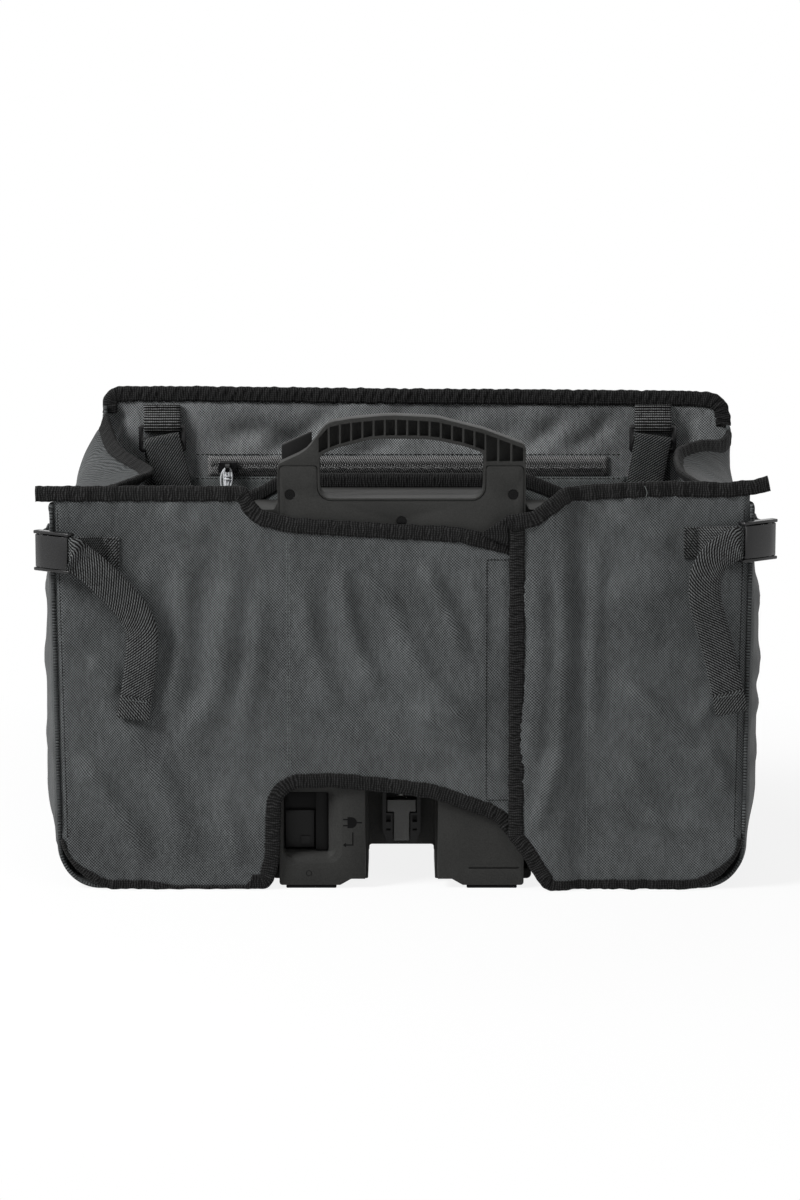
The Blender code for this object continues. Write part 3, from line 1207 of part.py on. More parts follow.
def make_slot_parts():
    # latch rails with a web behind the shutter and a seat for its spring
    front = 22 * MM
    web = 33 * MM
    back = SLOT_DEPTH - GAP
    shelf = 5 * MM
    pieces = [block("latch_web", (-LATCH_HALF, web, LATCH_BASE + 4 * MM), (LATCH_HALF, back, LATCH_TOP)),
              block("latch_seat", (-LATCH_HALF, front, LATCH_TOP - shelf), (LATCH_HALF, back, LATCH_TOP))]
    taper = 3.2 * MM
    for way in (-1, 1):
        rail = [(way * x, z) for x, z in ((LATCH_HALF, LATCH_TOP - MM), (LATCH_HALF, LATCH_BASE + 9 * MM),
                                          (LATCH_HALF - taper, LATCH_BASE), (SHUTTER_STEM + SLIP, LATCH_BASE),
                                          (SHUTTER_STEM + SLIP, SHUTTER_TOP - SHUTTER_BAR - SLIP),
                                          (LATCH_HALF - LATCH_RAIL, SHUTTER_TOP - SHUTTER_BAR - SLIP),
                                          (LATCH_HALF - LATCH_RAIL, LATCH_TOP - MM))]
        pieces.append(plate(f"latch_rail{way}", [rail], front, web + MM))
    latch = merged("carrier_latch", pieces)
    holes = []
    for way in (-1, 1):
        middle = way * (LATCH_HALF - 3.8 * MM)
        holes.append(block(f"catch_hole{way}", (middle - 1.5 * MM, front - MM, 39.6 * MM),
                           (middle + 1.5 * MM, front + 5 * MM, 44 * MM), cutters))
        holes.append(block(f"pin_hole{way}", (middle - 1.4 * MM, front - MM, 34 * MM),
                           (middle + 1.4 * MM, front + 3 * MM, 35.4 * MM), cutters))
    cut(latch, *holes)
    finish(shade(settle(latch)), "dark_plastic")

    shutter_front = front + 1.0 * MM
    shutter_back = shutter_front + 5 * MM
    bar = SHUTTER_TOP - SHUTTER_BAR
    outline = [(-SHUTTER_HALF, bar), (-SHUTTER_STEM, bar), (-SHUTTER_STEM, SHUTTER_BASE),
               (SHUTTER_STEM, SHUTTER_BASE),
               (SHUTTER_STEM, bar), (SHUTTER_HALF, bar), (SHUTTER_HALF, SHUTTER_TOP), (-SHUTTER_HALF,
                                                                                       SHUTTER_TOP)]
    shutter = round_edges(plate("contact_shutter", [outline], shutter_front, shutter_back), 0.5 * MM, 1)
    finish(shutter, "shutter_plastic")
    pivot(shutter, at(0, (shutter_front + shutter_back) / 2, SHUTTER_TOP))

    low = SHUTTER_TOP + SPRING_WIRE + GAP
    high = LATCH_TOP - shelf - SPRING_WIRE - GAP
    steps = SPRING_TURNS * 10
    middle = (shutter_front + shutter_back) / 2
    points = []
    for i in range(steps + 1):
        turn = 2 * math.pi * SPRING_TURNS * i / steps
        points.append(at(SPRING_RADIUS * math.cos(turn), middle + SPRING_RADIUS * math.sin(turn),
                         mix(low, high, i / steps)))
    pitch = (high - low) / SPRING_TURNS
    print(f"shutter spring: gap between turns {(pitch - 2 * SPRING_WIRE) / MM:.2f} mm")
    finish(rod("shutter_spring", points, SPRING_WIRE, 1), "steel")


def make_port():
    middle = (PORT_LEFT + PORT_LEDGE) / 2
    well = plate("charging_well", [rounded_box(PORT_LEFT + GAP, PORT_BASE + GAP, PORT_RIGHT - GAP,
                                               PORT_TOP - GAP, WELL_CORNER - GAP)],
                 BATTERY_REAR + WELL_DEPTH, HOUSING_SPLIT)
    pocket = block("port_pocket", (PORT_LEFT - MM, BATTERY_REAR, PORT_BASE - MM),
                   (PORT_LEDGE, PORT_DEPTH, PORT_TOP + MM), cutters)
    bore = drum("port_bore", at(middle, PORT_DEPTH + 3 * MM, SOCKET_HEIGHT), (0, 1, 0),
                SOCKET_BORE + WALL, 8 * MM, 20, cutters)
    cut(well, pocket, bore)
    finish(settle(well), "dark_plastic")

    socket = drum("port_socket", at(middle, PORT_DEPTH + 4.5 * MM, SOCKET_HEIGHT), (0, 1, 0),
                  SOCKET_BORE + WALL - GAP, 8 * MM, 20)
    hole = drum("socket_hole", at(middle, PORT_DEPTH, SOCKET_HEIGHT), (0, 1, 0),
                SOCKET_BORE - 2 * MM, 14 * MM, 16, cutters)
    cut(socket, hole)
    finish(settle(socket), "dark_plastic")

    left = PORT_LEFT + SLIP
    right = PORT_LEDGE - SLIP
    back = PORT_DEPTH - SLIP
    thickness = 2.2 * MM
    low = PORT_BASE + 2 * SLIP
    top = low + PORT_COVER_HEIGHT
    barrel_radius = 1.3 * MM
    panel = block("cover_panel", (left, back - thickness, low), (right, back, top))
    round_edges(panel, 0.5 * MM, 1)
    settle(panel)
    barrel = drum("cover_barrel", at(middle, back - thickness / 2, top), (1, 0, 0), barrel_radius,
                  right - left, 12)
    lift = block("cover_lift", (right - 9 * MM, back - thickness - 1.2 * MM, low + 2 * MM),
                 (right - 3 * MM, back - MM, low + 8 * MM))
    cover = merged("port_cover", [panel, barrel, lift])
    finish(shade(cover), "dark_plastic")
    pivot(cover, at(middle, back - thickness / 2, top))


def make_battery_fittings():
    for side_name, side in (("left", -1), ("right", 1)):
        low, high = sorted((side * (SLOT_HALF + 18.5 * MM), side * (PLATE_HALF - 4.3 * MM)))
        pad = block(f"foot_pad_{side_name}", (low, BATTERY_REAR + 0.8 * MM, 0),
                    (high, HOUSING_SPLIT - 2 * MM, FOOT_HEIGHT))
        finish(round_edges(pad, 0.5 * MM, 1), "foot_rubber")

    left, right, left_top, right_top = DISPLAY
    display = plate("display_cover", [[(left, BODY_TOP + GAP), (right, BODY_TOP + GAP), (right, right_top),
                                       (left, left_top)]], DISPLAY_DEPTH, DISPLAY_DEPTH + 5 * MM)
    finish(round_edges(display, 0.6 * MM, 1), "dark_plastic")

    # the power cells stand in a block whose wrap follows the outer cells
    start = BATTERY_REAR + COVER_THICKNESS + WALL + 4 * MM
    width = (POWER_CELL_COLUMNS - 1) * POWER_CELL_PITCH
    height = (POWER_CELL_ROWS - 1) * POWER_CELL_PITCH
    low = CELL_BLOCK_BASE + POWER_CELL_RADIUS
    around = []
    for count, span, first, way, turn in (
            (POWER_CELL_COLUMNS, width, (-width / 2, low), (1, 0), -90), (POWER_CELL_ROWS, height,
                                                                          (width / 2, low), (0, 1), 0),
            (POWER_CELL_COLUMNS, width, (width / 2, low + height), (-1, 0), 90),
            (POWER_CELL_ROWS, height, (-width / 2, low + height), (0, -1), 180)):
        for i in range(count):
            step = span * i / (count - 1)
            sweep = (-45, -15, 15, 45) if 0 < i < count - 1 else ((0, 30) if i == 0 else (-30, 0))
            for angle in sweep:
                spoke = math.radians(turn + angle)
                around.append((first[0] + way[0] * step + POWER_CELL_RADIUS * math.cos(spoke),
                               first[1] + way[1] * step + POWER_CELL_RADIUS * math.sin(spoke)))
    finish(plate("power_cells", [around], start, start + POWER_CELL_LENGTH), "cell_wrap")

    half = width / 2 + POWER_CELL_RADIUS + GAP
    low = CELL_BLOCK_BASE - GAP
    high = CELL_BLOCK_BASE + 2 * POWER_CELL_RADIUS + height + GAP
    rim = 0.7 * MM
    for name, near, far in (("cell_frame_rear", start + MM, start + 9 * MM),
                            ("cell_frame_front", start + POWER_CELL_LENGTH - 9 * MM,
                             start + POWER_CELL_LENGTH - MM)):
        outer = [(-half - rim, low - rim), (half + rim, low - rim), (half + rim, high + rim),
                 (-half - rim, high + rim)]
        inner = [(-half, low), (-half, high), (half, high), (half, low)]
        finish(plate(name, [outer, inner], near, far), "dark_plastic")

    board_half = width / 2 + 3 * MM
    board_thickness = 1.6 * MM
    board_z = CELL_BLOCK_BASE - 2 * GAP - rim - board_thickness
    board = block("control_board", (-board_half, HOUSING_SPLIT + 4 * MM, board_z),
                  (board_half, BATTERY_FRONT - 8 * MM, board_z + board_thickness))
    finish(board, "board_green")


arch_line = make_rear_panels()
make_flap(arch_line)
make_sides()
make_front_and_floor()
make_pocket()
make_inner_straps()
make_side_strap("left", -1)
make_side_strap("right", 1)
make_rear_housing()
make_front_housing()
make_slot_parts()
make_port()
make_battery_fittings()
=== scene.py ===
import math

import bmesh
import bpy
from mathutils import Matrix, Vector, noise
from mathutils.bvhtree import BVHTree


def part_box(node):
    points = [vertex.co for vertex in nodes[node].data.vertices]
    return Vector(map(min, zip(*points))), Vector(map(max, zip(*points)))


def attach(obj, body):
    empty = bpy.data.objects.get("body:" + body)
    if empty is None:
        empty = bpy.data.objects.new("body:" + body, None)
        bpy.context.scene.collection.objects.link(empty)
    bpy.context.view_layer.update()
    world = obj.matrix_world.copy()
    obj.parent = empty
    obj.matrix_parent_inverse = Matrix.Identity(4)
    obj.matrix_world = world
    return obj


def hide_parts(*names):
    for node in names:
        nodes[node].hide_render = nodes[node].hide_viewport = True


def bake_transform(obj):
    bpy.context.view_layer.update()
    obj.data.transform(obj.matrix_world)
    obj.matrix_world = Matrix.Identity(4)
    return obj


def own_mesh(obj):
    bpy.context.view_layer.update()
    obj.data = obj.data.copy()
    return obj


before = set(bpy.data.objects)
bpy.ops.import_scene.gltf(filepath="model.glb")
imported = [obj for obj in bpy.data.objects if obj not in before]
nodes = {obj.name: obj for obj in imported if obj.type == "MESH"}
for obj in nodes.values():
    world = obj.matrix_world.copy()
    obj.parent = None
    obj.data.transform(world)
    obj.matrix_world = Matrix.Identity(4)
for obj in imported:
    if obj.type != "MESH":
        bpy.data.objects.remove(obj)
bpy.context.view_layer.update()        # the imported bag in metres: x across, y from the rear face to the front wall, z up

mm = 0.001
print("frame loaded:", len(nodes), "nodes")


# camera and light

view = {"x": -1 * mm, "distance": 2.0, "height": 473.5 * mm, "aim": 187.5 * mm, "lens": 95.88}
rearFace = -94.9 * mm        # y of the rear panel's face

cameraData = bpy.data.cameras.new("photoCamera")
cameraData.lens = view["lens"]
cameraData.sensor_width = 36
cameraObject = bpy.data.objects.new("photoCamera", cameraData)
cameraObject.location = (view["x"], rearFace - view["distance"], view["height"])
pitch = math.atan((view["height"] - view["aim"]) / view["distance"])
cameraObject.rotation_euler = (math.pi / 2 - pitch, 0, 0)
bpy.context.scene.collection.objects.link(cameraObject)
bpy.context.scene.camera = cameraObject
bpy.context.scene.view_settings.view_transform = "Standard"

softboxes = [        # name, place, aimed at, width, height, watts
    ("topBox", (0.1, -0.9, 1.8), (0, 0, 0.15), 1.2, 0.8, 4),
    ("leftBox", (-1.7, -1.0, 1.65), (0, 0, 0.15), 0.8, 0.9, 76),        # grazes the rear, so that folds and weave show
    ("rightBox", (1.5, -2.1, 0.8), (0, 0, 0.15), 1.0, 1.3, 8),
    ("backBox", (0.3, 1.9, 1.5), (0, 0, 0.15), 1.4, 1.2, 5),
]
for name, place, target, width, height, watts in softboxes:
    lamp = bpy.data.lights.new(name, "AREA")
    lamp.shape = "RECTANGLE"
    lamp.size, lamp.size_y, lamp.energy = width, height, watts
    holder = bpy.data.objects.new(name, lamp)
    holder.location = place
    holder.rotation_euler = (Vector(target) - Vector(place)).to_track_quat("-Z", "Y").to_euler()
    bpy.context.scene.collection.objects.link(holder)


# nodes and colours

def hexColour(code):
    parts = [int(code[i:i + 2], 16) / 255 for i in (1, 3, 5)]
    return [p / 12.92 if p <= 0.04045 else ((p + 0.055) / 1.055) ** 2.4 for p in parts] + [1.0]


def addNode(tree, kind, values=None, links=None, **settings):
    # a link's source is a socket, or a node that gives its first output
    node = tree.nodes.new(kind)
    for name, value in settings.items():
        setattr(node, name, value)
    for socket, value in (values or {}).items():
        node.inputs[socket].default_value = value
    for socket, source in (links or {}).items():
        tree.links.new(source.outputs[0] if isinstance(source, bpy.types.Node) else source, node.inputs[socket])
    return node


def startMaterial(name, base, sockets):
    material = bpy.data.materials.new(name)
    material.use_nodes = True
    shader = material.node_tree.nodes["Principled BSDF"]
    shader.inputs["Base Color"].default_value = hexColour(base)
    for socket, value in sockets.items():
        shader.inputs[socket].default_value = value
    material.diffuse_color = hexColour(base)
    return material, material.node_tree, shader


def ripple(tree, source, period):
    # a sine along a coordinate in metres, from -1 to 1
    turned = addNode(tree, "ShaderNodeMath", {1: 2 * math.pi / period}, {0: source}, operation="MULTIPLY")
    return addNode(tree, "ShaderNodeMath", {}, {0: turned}, operation="SINE")


def onCloth(tree):
    # the place on the cut cloth, along and across the weave
    flat = addNode(tree, "ShaderNodeUVMap", uv_map="flat")
    parts = addNode(tree, "ShaderNodeSeparateXYZ", {}, {0: flat})
    return parts.outputs[0], parts.outputs[1]


def noiseOn(tree, scale, detail, stretch=(1, 1, 1)):
    # noise in real space, with its scale per metre along each axis
    place = addNode(tree, "ShaderNodeTexCoord").outputs["Object"]
    mapped = addNode(tree, "ShaderNodeMapping", {"Scale": stretch}, {"Vector": place})
    return addNode(tree, "ShaderNodeTexNoise", {"Scale": scale, "Detail": detail, "Roughness": 0.6},
                   {"Vector": mapped}).outputs["Fac"]


def tinted(tree, shader, share, low, high, dark, light):
    # the shader's colour, from dark to light as the share goes from low to high
    ramp = addNode(tree, "ShaderNodeMapRange", {"From Min": low, "From Max": high}, {"Value": share})
    mix = addNode(tree, "ShaderNodeMix", {6: hexColour(dark), 7: hexColour(light)}, {0: ramp},
                  data_type="RGBA")
    tree.links.new(mix.outputs[2], shader.inputs["Base Color"])


def raised(tree, shader, height, distance, strength=1.0):
    bump = addNode(tree, "ShaderNodeBump", {"Strength": strength, "Distance": distance}, {"Height": height})
    tree.links.new(bump.outputs[0], shader.inputs["Normal"])


# materials

def wovenCloth(name, light, dark, thread, low=0.62, streak=0.0):
    # 600 denier polyester, plain woven from two grey yarns and coated behind: matt, with a dotted, checked grain
    material, tree, shader = startMaterial(name, light, {"Roughness": 0.62, "Sheen Weight": 0.03,
                                                         "Sheen Roughness": 0.5, "Specular IOR Level": 0.2})
    along, across = onCloth(tree)
    drift = noiseOn(tree, 60.0, 2.0)        # the yarns aren't quite straight
    along, across = [addNode(tree, "ShaderNodeMath", {1: 2.4 * mm}, {0: drift, 2: way}, operation="MULTIPLY_ADD")
                     for way in (along, across)]
    warp, weft = ripple(tree, along, 2 * thread), ripple(tree, across, 2.1 * thread)
    crossing = addNode(tree, "ShaderNodeMath", {}, {0: warp, 1: weft}, operation="MULTIPLY")
    check = addNode(tree, "ShaderNodeMath", {1: 0.5, 2: 0.5}, {0: crossing}, operation="MULTIPLY_ADD")
    diagonal = addNode(tree, "ShaderNodeMath", {}, {0: along, 1: across}, operation="ADD")
    tone = check
    for part, weight in ((ripple(tree, diagonal, 1.55 * thread), 0.10),        # the twist of the yarns
                         (noiseOn(tree, 300.0, 2.0, (1.3, 1.0, 0.5)), 0.45),        # thick and thin places
                         (noiseOn(tree, 14.0, 3.0), 0.60)):        # large soft patches, lighter and darker: uneven tone, together with painted light and shade of the folds
        tone = addNode(tree, "ShaderNodeMath", {1: weight}, {0: part, 2: tone}, operation="MULTIPLY_ADD")
    if streak:        # two layers of weave lie on each other and draw watered streaks, mostly above the fold
        bent = addNode(tree, "ShaderNodeMath", {1: 40 * mm}, {0: noiseOn(tree, 16.0, 3.0), 2: diagonal},
                       operation="MULTIPLY_ADD")
        place = addNode(tree, "ShaderNodeSeparateXYZ", {}, {0: addNode(tree, "ShaderNodeTexCoord").outputs["Object"]})
        fold = addNode(tree, "ShaderNodeMapRange", {"From Min": 0.21, "From Max": 0.25, "To Min": 0.15 * streak,
                                                    "To Max": streak}, {"Value": place.outputs[2]})
        tone = addNode(tree, "ShaderNodeMath", {}, {0: ripple(tree, bent, 3.4 * mm), 1: fold, 2: tone},
                       operation="MULTIPLY_ADD")
    tinted(tree, shader, tone, low, low + 1.0, dark, light)
    raised(tree, shader, check, 0.2 * mm, 0.9)
    return material


def ribbedTape(name, light, dark, rib, slant=0.0, ridge=0.35, wander=0.0, low=0.45, ribHighlight=1.0):
    # polyester tape or webbing, woven with ribs across it: dark and matt, each rib's crest painted lighter as a painted
    # highlight of the light it catches
    material, tree, shader = startMaterial(name, light, {"Roughness": 0.68, "Sheen Weight": 0.02,
                                                         "Sheen Roughness": 0.45, "Specular IOR Level": 0.1})
    along, across = onCloth(tree)
    slanted = addNode(tree, "ShaderNodeMath", {1: slant}, {0: across, 2: along}, operation="MULTIPLY_ADD")
    bent = addNode(tree, "ShaderNodeMath", {1: wander}, {0: noiseOn(tree, 130.0, 2.0), 2: slanted},
                   operation="MULTIPLY_ADD")
    ribs = addNode(tree, "ShaderNodeMath", {1: 0.5, 2: 0.5}, {0: ripple(tree, bent, rib)}, operation="MULTIPLY_ADD")
    knots = addNode(tree, "ShaderNodeMath", {1: 0.18, 2: 0.18}, {0: ripple(tree, across, rib * 0.8)},
                    operation="MULTIPLY_ADD")
    tone = knots
    for part, weight in ((ribs, ribHighlight), (noiseOn(tree, 420.0, 3.0), 0.75)):        # the ribs' painted highlights, then wear
        tone = addNode(tree, "ShaderNodeMath", {1: weight}, {0: part, 2: tone}, operation="MULTIPLY_ADD")
    tinted(tree, shader, tone, low, 1.1 + 0.45 * ribHighlight, dark, light)
    height = addNode(tree, "ShaderNodeMath", {}, {0: ribs, 1: knots}, operation="ADD")
    raised(tree, shader, height, ridge * mm, 0.9)
    return material


def mouldedPlastic(name, base, roughness, grain, depth, specular=0.5, speck=0.22):
    # injection moulded plastic: an even colour with the spark-eroded grain of its mould
    material, tree, shader = startMaterial(name, base, {"Roughness": roughness, "IOR": 1.52,
                                                        "Specular IOR Level": specular})
    grains = noiseOn(tree, 1 / grain, 2.0)
    rubbed = addNode(tree, "ShaderNodeMath", {1: 0.4}, {0: noiseOn(tree, 26.0, 3.0)}, operation="MULTIPLY")
    both = addNode(tree, "ShaderNodeMath", {1: 0.6}, {0: grains, 2: rubbed}, operation="MULTIPLY_ADD")
    rough = addNode(tree, "ShaderNodeMapRange", {"From Min": 0.3, "From Max": 0.7, "To Min": roughness - 0.07,
                                                 "To Max": roughness + 0.09}, {"Value": both})
    tree.links.new(rough.outputs[0], shader.inputs["Roughness"])
    shade = addNode(tree, "ShaderNodeMapRange", {"From Min": 0.3, "From Max": 0.7, "To Min": 1 - speck,
                                                 "To Max": 1 + speck}, {"Value": both})
    tint = addNode(tree, "ShaderNodeVectorMath", {0: hexColour(base)[:3]}, {"Scale": shade.outputs[0]},
                   operation="SCALE")
    tree.links.new(tint.outputs[0], shader.inputs["Base Color"])
    raised(tree, shader, grains, depth, 0.6)
    return material


def drawnSteel(name, base):
    # hard-drawn spring wire: bright, with fine lines along the draw
    material, tree, shader = startMaterial(name, base, {"Metallic": 1.0, "Roughness": 0.3})
    lines = noiseOn(tree, 1500.0, 1.0)
    rough = addNode(tree, "ShaderNodeMapRange", {"To Min": 0.22, "To Max": 0.42}, {"Value": lines})
    tree.links.new(rough.outputs[0], shader.inputs["Roughness"])
    return material


# yarns and grain are drawn two or three times coarser than the real ones, which are too fine to show
fabric = wovenCloth("wovenPolyester", "#626566", "#040505", 0.9 * mm)
frontFabric = wovenCloth("litFrontPolyester", "#9a9d9e", "#070808", 0.9 * mm, 0.66)        # paler than the rear cloth: painted light, for the stronger light on the front wall
# painted shade: the sides are a darker copy of the same cloth, for the shade that lies on them
sideFabric = wovenCloth("shadedSidePolyester", "#5c5f60", "#030404", 0.9 * mm, 0.72, 0.3)
liningCloth = wovenCloth("liningPolyester", "#6c7070", "#070808", 0.9 * mm)
# the tapes' and webbings' rib crests carry painted highlights in their colour
bindingTape = ribbedTape("grosgrainTape", "#2a2a2a", "#030303", rib=1.7 * mm, ridge=0.3, wander=3.5 * mm,
                         low=0.78, ribHighlight=0.7)
webbing = ribbedTape("ribbedWebbing", "#767777", "#030303", rib=1.9 * mm, ridge=0.5, wander=0.4 * mm, low=1.12)
twillWebbing = ribbedTape("twillWebbing", "#5e6060", "#040404", rib=2.0 * mm, slant=0.9, ridge=0.4, wander=0.8 * mm,
                           low=0.92)
zipTape = ribbedTape("zipTape", "#8c8c8c", "#080808", rib=1.5 * mm, slant=0.6, ridge=0.25, wander=1.5 * mm, low=0.7)
seamThread = mouldedPlastic("bondedThread", "#121212", 0.6, 0.4 * mm, 0.04 * mm, 0.1)
paleThread = mouldedPlastic("greyThread", "#5f6362", 0.6, 0.4 * mm, 0.04 * mm, 0.1)
housingPlastic = mouldedPlastic("grainedAbs", "#2c2c2b", 0.56, 0.9 * mm, 0.10 * mm, 0.08, 0.3)
# painted shade: the charging well is drawn near black, darker than its dark plastic, for the shade in its recess; the
# ejector pin's ring mark uses the same material
wellPlastic = mouldedPlastic("darkAbsWithWellShade", "#080808", 0.5, 0.8 * mm, 0.05 * mm, 0.1)
fittingPlastic = mouldedPlastic("mouldedPolyamide", "#101010", 0.45, 0.8 * mm, 0.05 * mm, 0.15)
shutterPlastic = mouldedPlastic("greyPolyamide", "#414140", 0.45, 0.7 * mm, 0.05 * mm, 0.2)
bucklePlastic = mouldedPlastic("acetalBuckle", "#101011", 0.24, 0.9 * mm, 0.02 * mm, 0.35, 0.1)
footRubber = mouldedPlastic("mouldedRubber", "#121212", 0.85, 0.7 * mm, 0.08 * mm, 0.1)
cellWrap = mouldedPlastic("shrinkWrap", "#1b222c", 0.35, 2.0 * mm, 0.05 * mm)
boardLacquer = mouldedPlastic("boardLacquer", "#1f5236", 0.4, 1.5 * mm, 0.03 * mm)
signInk = mouldedPlastic("printedInk", "#040404", 0.6, 0.5 * mm, 0.01 * mm, 0.08)
pullCord = ribbedTape("braidedCord", "#eceef0", "#8c8e92", rib=1.2 * mm, slant=1.0, ridge=0.2)
springSteel = drawnSteel("springSteel", "#6c6c6a")
screwSteel = drawnSteel("blackenedSteel", "#1c1c1c")
print("materials made")


# floor

floorBox = bmesh.new()
bmesh.ops.create_grid(floorBox, x_segments=1, y_segments=1, size=6)
floorMesh = bpy.data.meshes.new("floor")
floorBox.to_mesh(floorMesh)
floorBox.free()
floor = bpy.data.objects.new("floor", floorMesh)
bpy.context.scene.collection.objects.link(floor)
floorPaint, floorTree, floorShader = startMaterial("matPaper", "#f4f4f4", {"Roughness": 0.9,
                                                                           "Specular IOR Level": 0.1})
glow = addNode(floorTree, "ShaderNodeEmission", {"Color": (1, 1, 1, 1), "Strength": 1.0})
path = addNode(floorTree, "ShaderNodeLightPath")
spread = addNode(floorTree, "ShaderNodeVectorMath", {}, {0: addNode(floorTree, "ShaderNodeTexCoord").outputs["Object"]},
                 operation="LENGTH")
share = addNode(floorTree, "ShaderNodeMapRange", {"From Min": 0.3, "From Max": 0.7, "To Min": 0.86, "To Max": 1.0},
                {"Value": spread.outputs["Value"]})        # the shadow stays near the bag, and the rest is white
looked = addNode(floorTree, "ShaderNodeMath", {}, {0: path.outputs["Is Camera Ray"],
                                                   1: path.outputs["Is Glossy Ray"]}, operation="MAXIMUM")
seen = addNode(floorTree, "ShaderNodeMath", {}, {0: looked, 1: share}, operation="MULTIPLY")
paper = addNode(floorTree, "ShaderNodeMixShader", {}, {0: seen, 1: floorShader, 2: glow})
floorTree.links.new(paper.outputs[0], floorTree.nodes["Material Output"].inputs[0])
floorMesh.materials.append(floorPaint)

world = bpy.data.worlds.new("studio")
bpy.context.scene.world = world
world.use_nodes = True
worldTree = world.node_tree
room = worldTree.nodes["Background"]
room.inputs[0].default_value = (1, 1, 1, 1)
ray = addNode(worldTree, "ShaderNodeLightPath")
direct = ray.outputs["Is Camera Ray"]
for kind in ("Is Transmission Ray", "Is Glossy Ray"):
    direct = addNode(worldTree, "ShaderNodeMath", {}, {0: direct, 1: ray.outputs[kind]}, operation="MAXIMUM")
level = addNode(worldTree, "ShaderNodeMapRange", {"To Min": 0.1, "To Max": 1.0}, {"Value": direct})
worldTree.links.new(level.outputs[0], room.inputs[1])


# shapes shared by the cloth pieces

bag = {        # the sewn bag, as the frame has it
    "rearHalfBase": 216.5 * mm, "rearHalfTop": 219.5 * mm, "rearTop": 260 * mm, "edge": 1.2 * mm,
    "frontHalfBase": 224 * mm, "frontHalfTop": 213 * mm, "frontTop": 305.5 * mm, "frontLean": 10 * mm,
    "depth": 205 * mm, "frontBow": 5 * mm, "baseRadius": 25 * mm, "frontRadius": 30 * mm, "cloth": 2.4 * mm,
    "floorLift": 12 * mm, "floorSlope": 25 * mm, "bulge": 12 * mm, "dividerDepth": 88.5 * mm, "dividerTop": 259 * mm,
    "sideOffset": 2.7 * mm, "frontOffset": 2.39 * mm, "frontEdge": 4.3 * mm,
    "gussetStart": 3.9 * mm, "gussetRear": 0.3 * mm, "gussetEnd": 201.9 * mm,
}
halfCloth = bag["cloth"] / 2
topEdge = bag["rearTop"] - bag["edge"]
gussetFloor = halfCloth + 0.3 * mm
gussetRadius = bag["baseRadius"] + bag["sideOffset"] - halfCloth


def at(x, depth, z):
    return Vector((x, rearFace + depth, z))


def mixed(a, b, share):
    return a + (b - a) * share


def smooth(value):
    held = min(1.0, max(0.0, value))
    return held * held * (3 - 2 * held)


def rearHalf(z):
    return mixed(bag["rearHalfBase"], bag["rearHalfTop"], z / bag["rearTop"])


def frontHalf(z, side):
    lean = side * bag["frontLean"] * (z / bag["frontTop"]) ** 2
    return mixed(bag["frontHalfBase"], bag["frontHalfTop"], z / bag["frontTop"]) + lean


def frontDepth(x, z):
    across = max(0.0, 1 - (x / bag["frontHalfBase"]) ** 4)
    return bag["depth"] + bag["frontBow"] * across * math.sin(math.pi * z / bag["frontTop"])


rims = {        # the gussets' folded top edges, as depth, x and z in millimetres from rear to front
    -1: ((0, 222.2, 248), (60, 194, 251.5), (98, 172, 256), (114, 166.5, 257.5), (125, 168.6, 259.5),
         (140, 178.5, 263), (160, 190.2, 268.5), (175, 196, 274.8), (195, 202.4, 287), (202, 205.4, 294)),
    1: ((0, 222.2, 248), (50, 196, 255), (80, 183, 260.5), (105, 181.5, 265), (120, 182.8, 267), (135, 186.4, 271),
        (160, 203, 273.4), (180, 217.5, 272), (195, 225, 276), (202, 226.5, 281)),
}
foldStarts = {-1: 222 * mm, 1: 232 * mm}        # height at which each gusset starts to turn in


def between(stations, place):
    # values at a place on a list of stations, on a smooth path through them
    last = len(stations) - 1
    k = 0
    while k < last - 1 and stations[k + 1][0] < place:
        k += 1
    p = [stations[min(max(n, 0), last)] for n in (k - 1, k, k + 1, k + 2)]
    t = min(1.0, max(0.0, (place - p[1][0]) / (p[2][0] - p[1][0])))
    return [0.5 * (2 * b + (c - a) * t + (2 * a - 5 * b + 4 * c - d) * t * t + (3 * b - 3 * c + d - a) * t ** 3)
            for a, b, c, d in zip(*[q[1:] for q in p])]


def gussetRim(u, way):
    half, z = between(rims[way], u * 202)
    return half * mm, z * mm


def gussetHalf(u, z, side):
    straight = mixed(rearHalf(z) + bag["sideOffset"], frontHalf(z, side) + bag["frontOffset"], u)
    swell = bag["bulge"] * math.sin(math.pi * u) * smooth(z / (60 * mm))
    rimHalf, rimHigh = gussetRim(u, side)
    start = foldStarts[side]
    fading = smooth((z - start) / (rimHigh - start)) ** (1.6 if side > 0 else mixed(1.6, 3.0, smooth((u - 0.3) / 0.3)))
    leaning = 3 * mm * math.sin(math.pi * u) * smooth((z - 160 * mm) / (80 * mm)) if side > 0 else 0.0
    puff = 0.0
    if side < 0:        # the left side puffs out beside the front seam
        puff = 9.5 * mm * math.exp(-((z - 260 * mm) / (26 * mm)) ** 2) * smooth((u - 0.45) / 0.35)
        puff *= smooth((1 - u) / 0.06) * smooth((rimHigh - z) / (10 * mm))
    return mixed(straight + swell * (1 - 0.75 * smooth((z - 170 * mm) / (90 * mm))) - leaning, rimHalf, fading) + puff


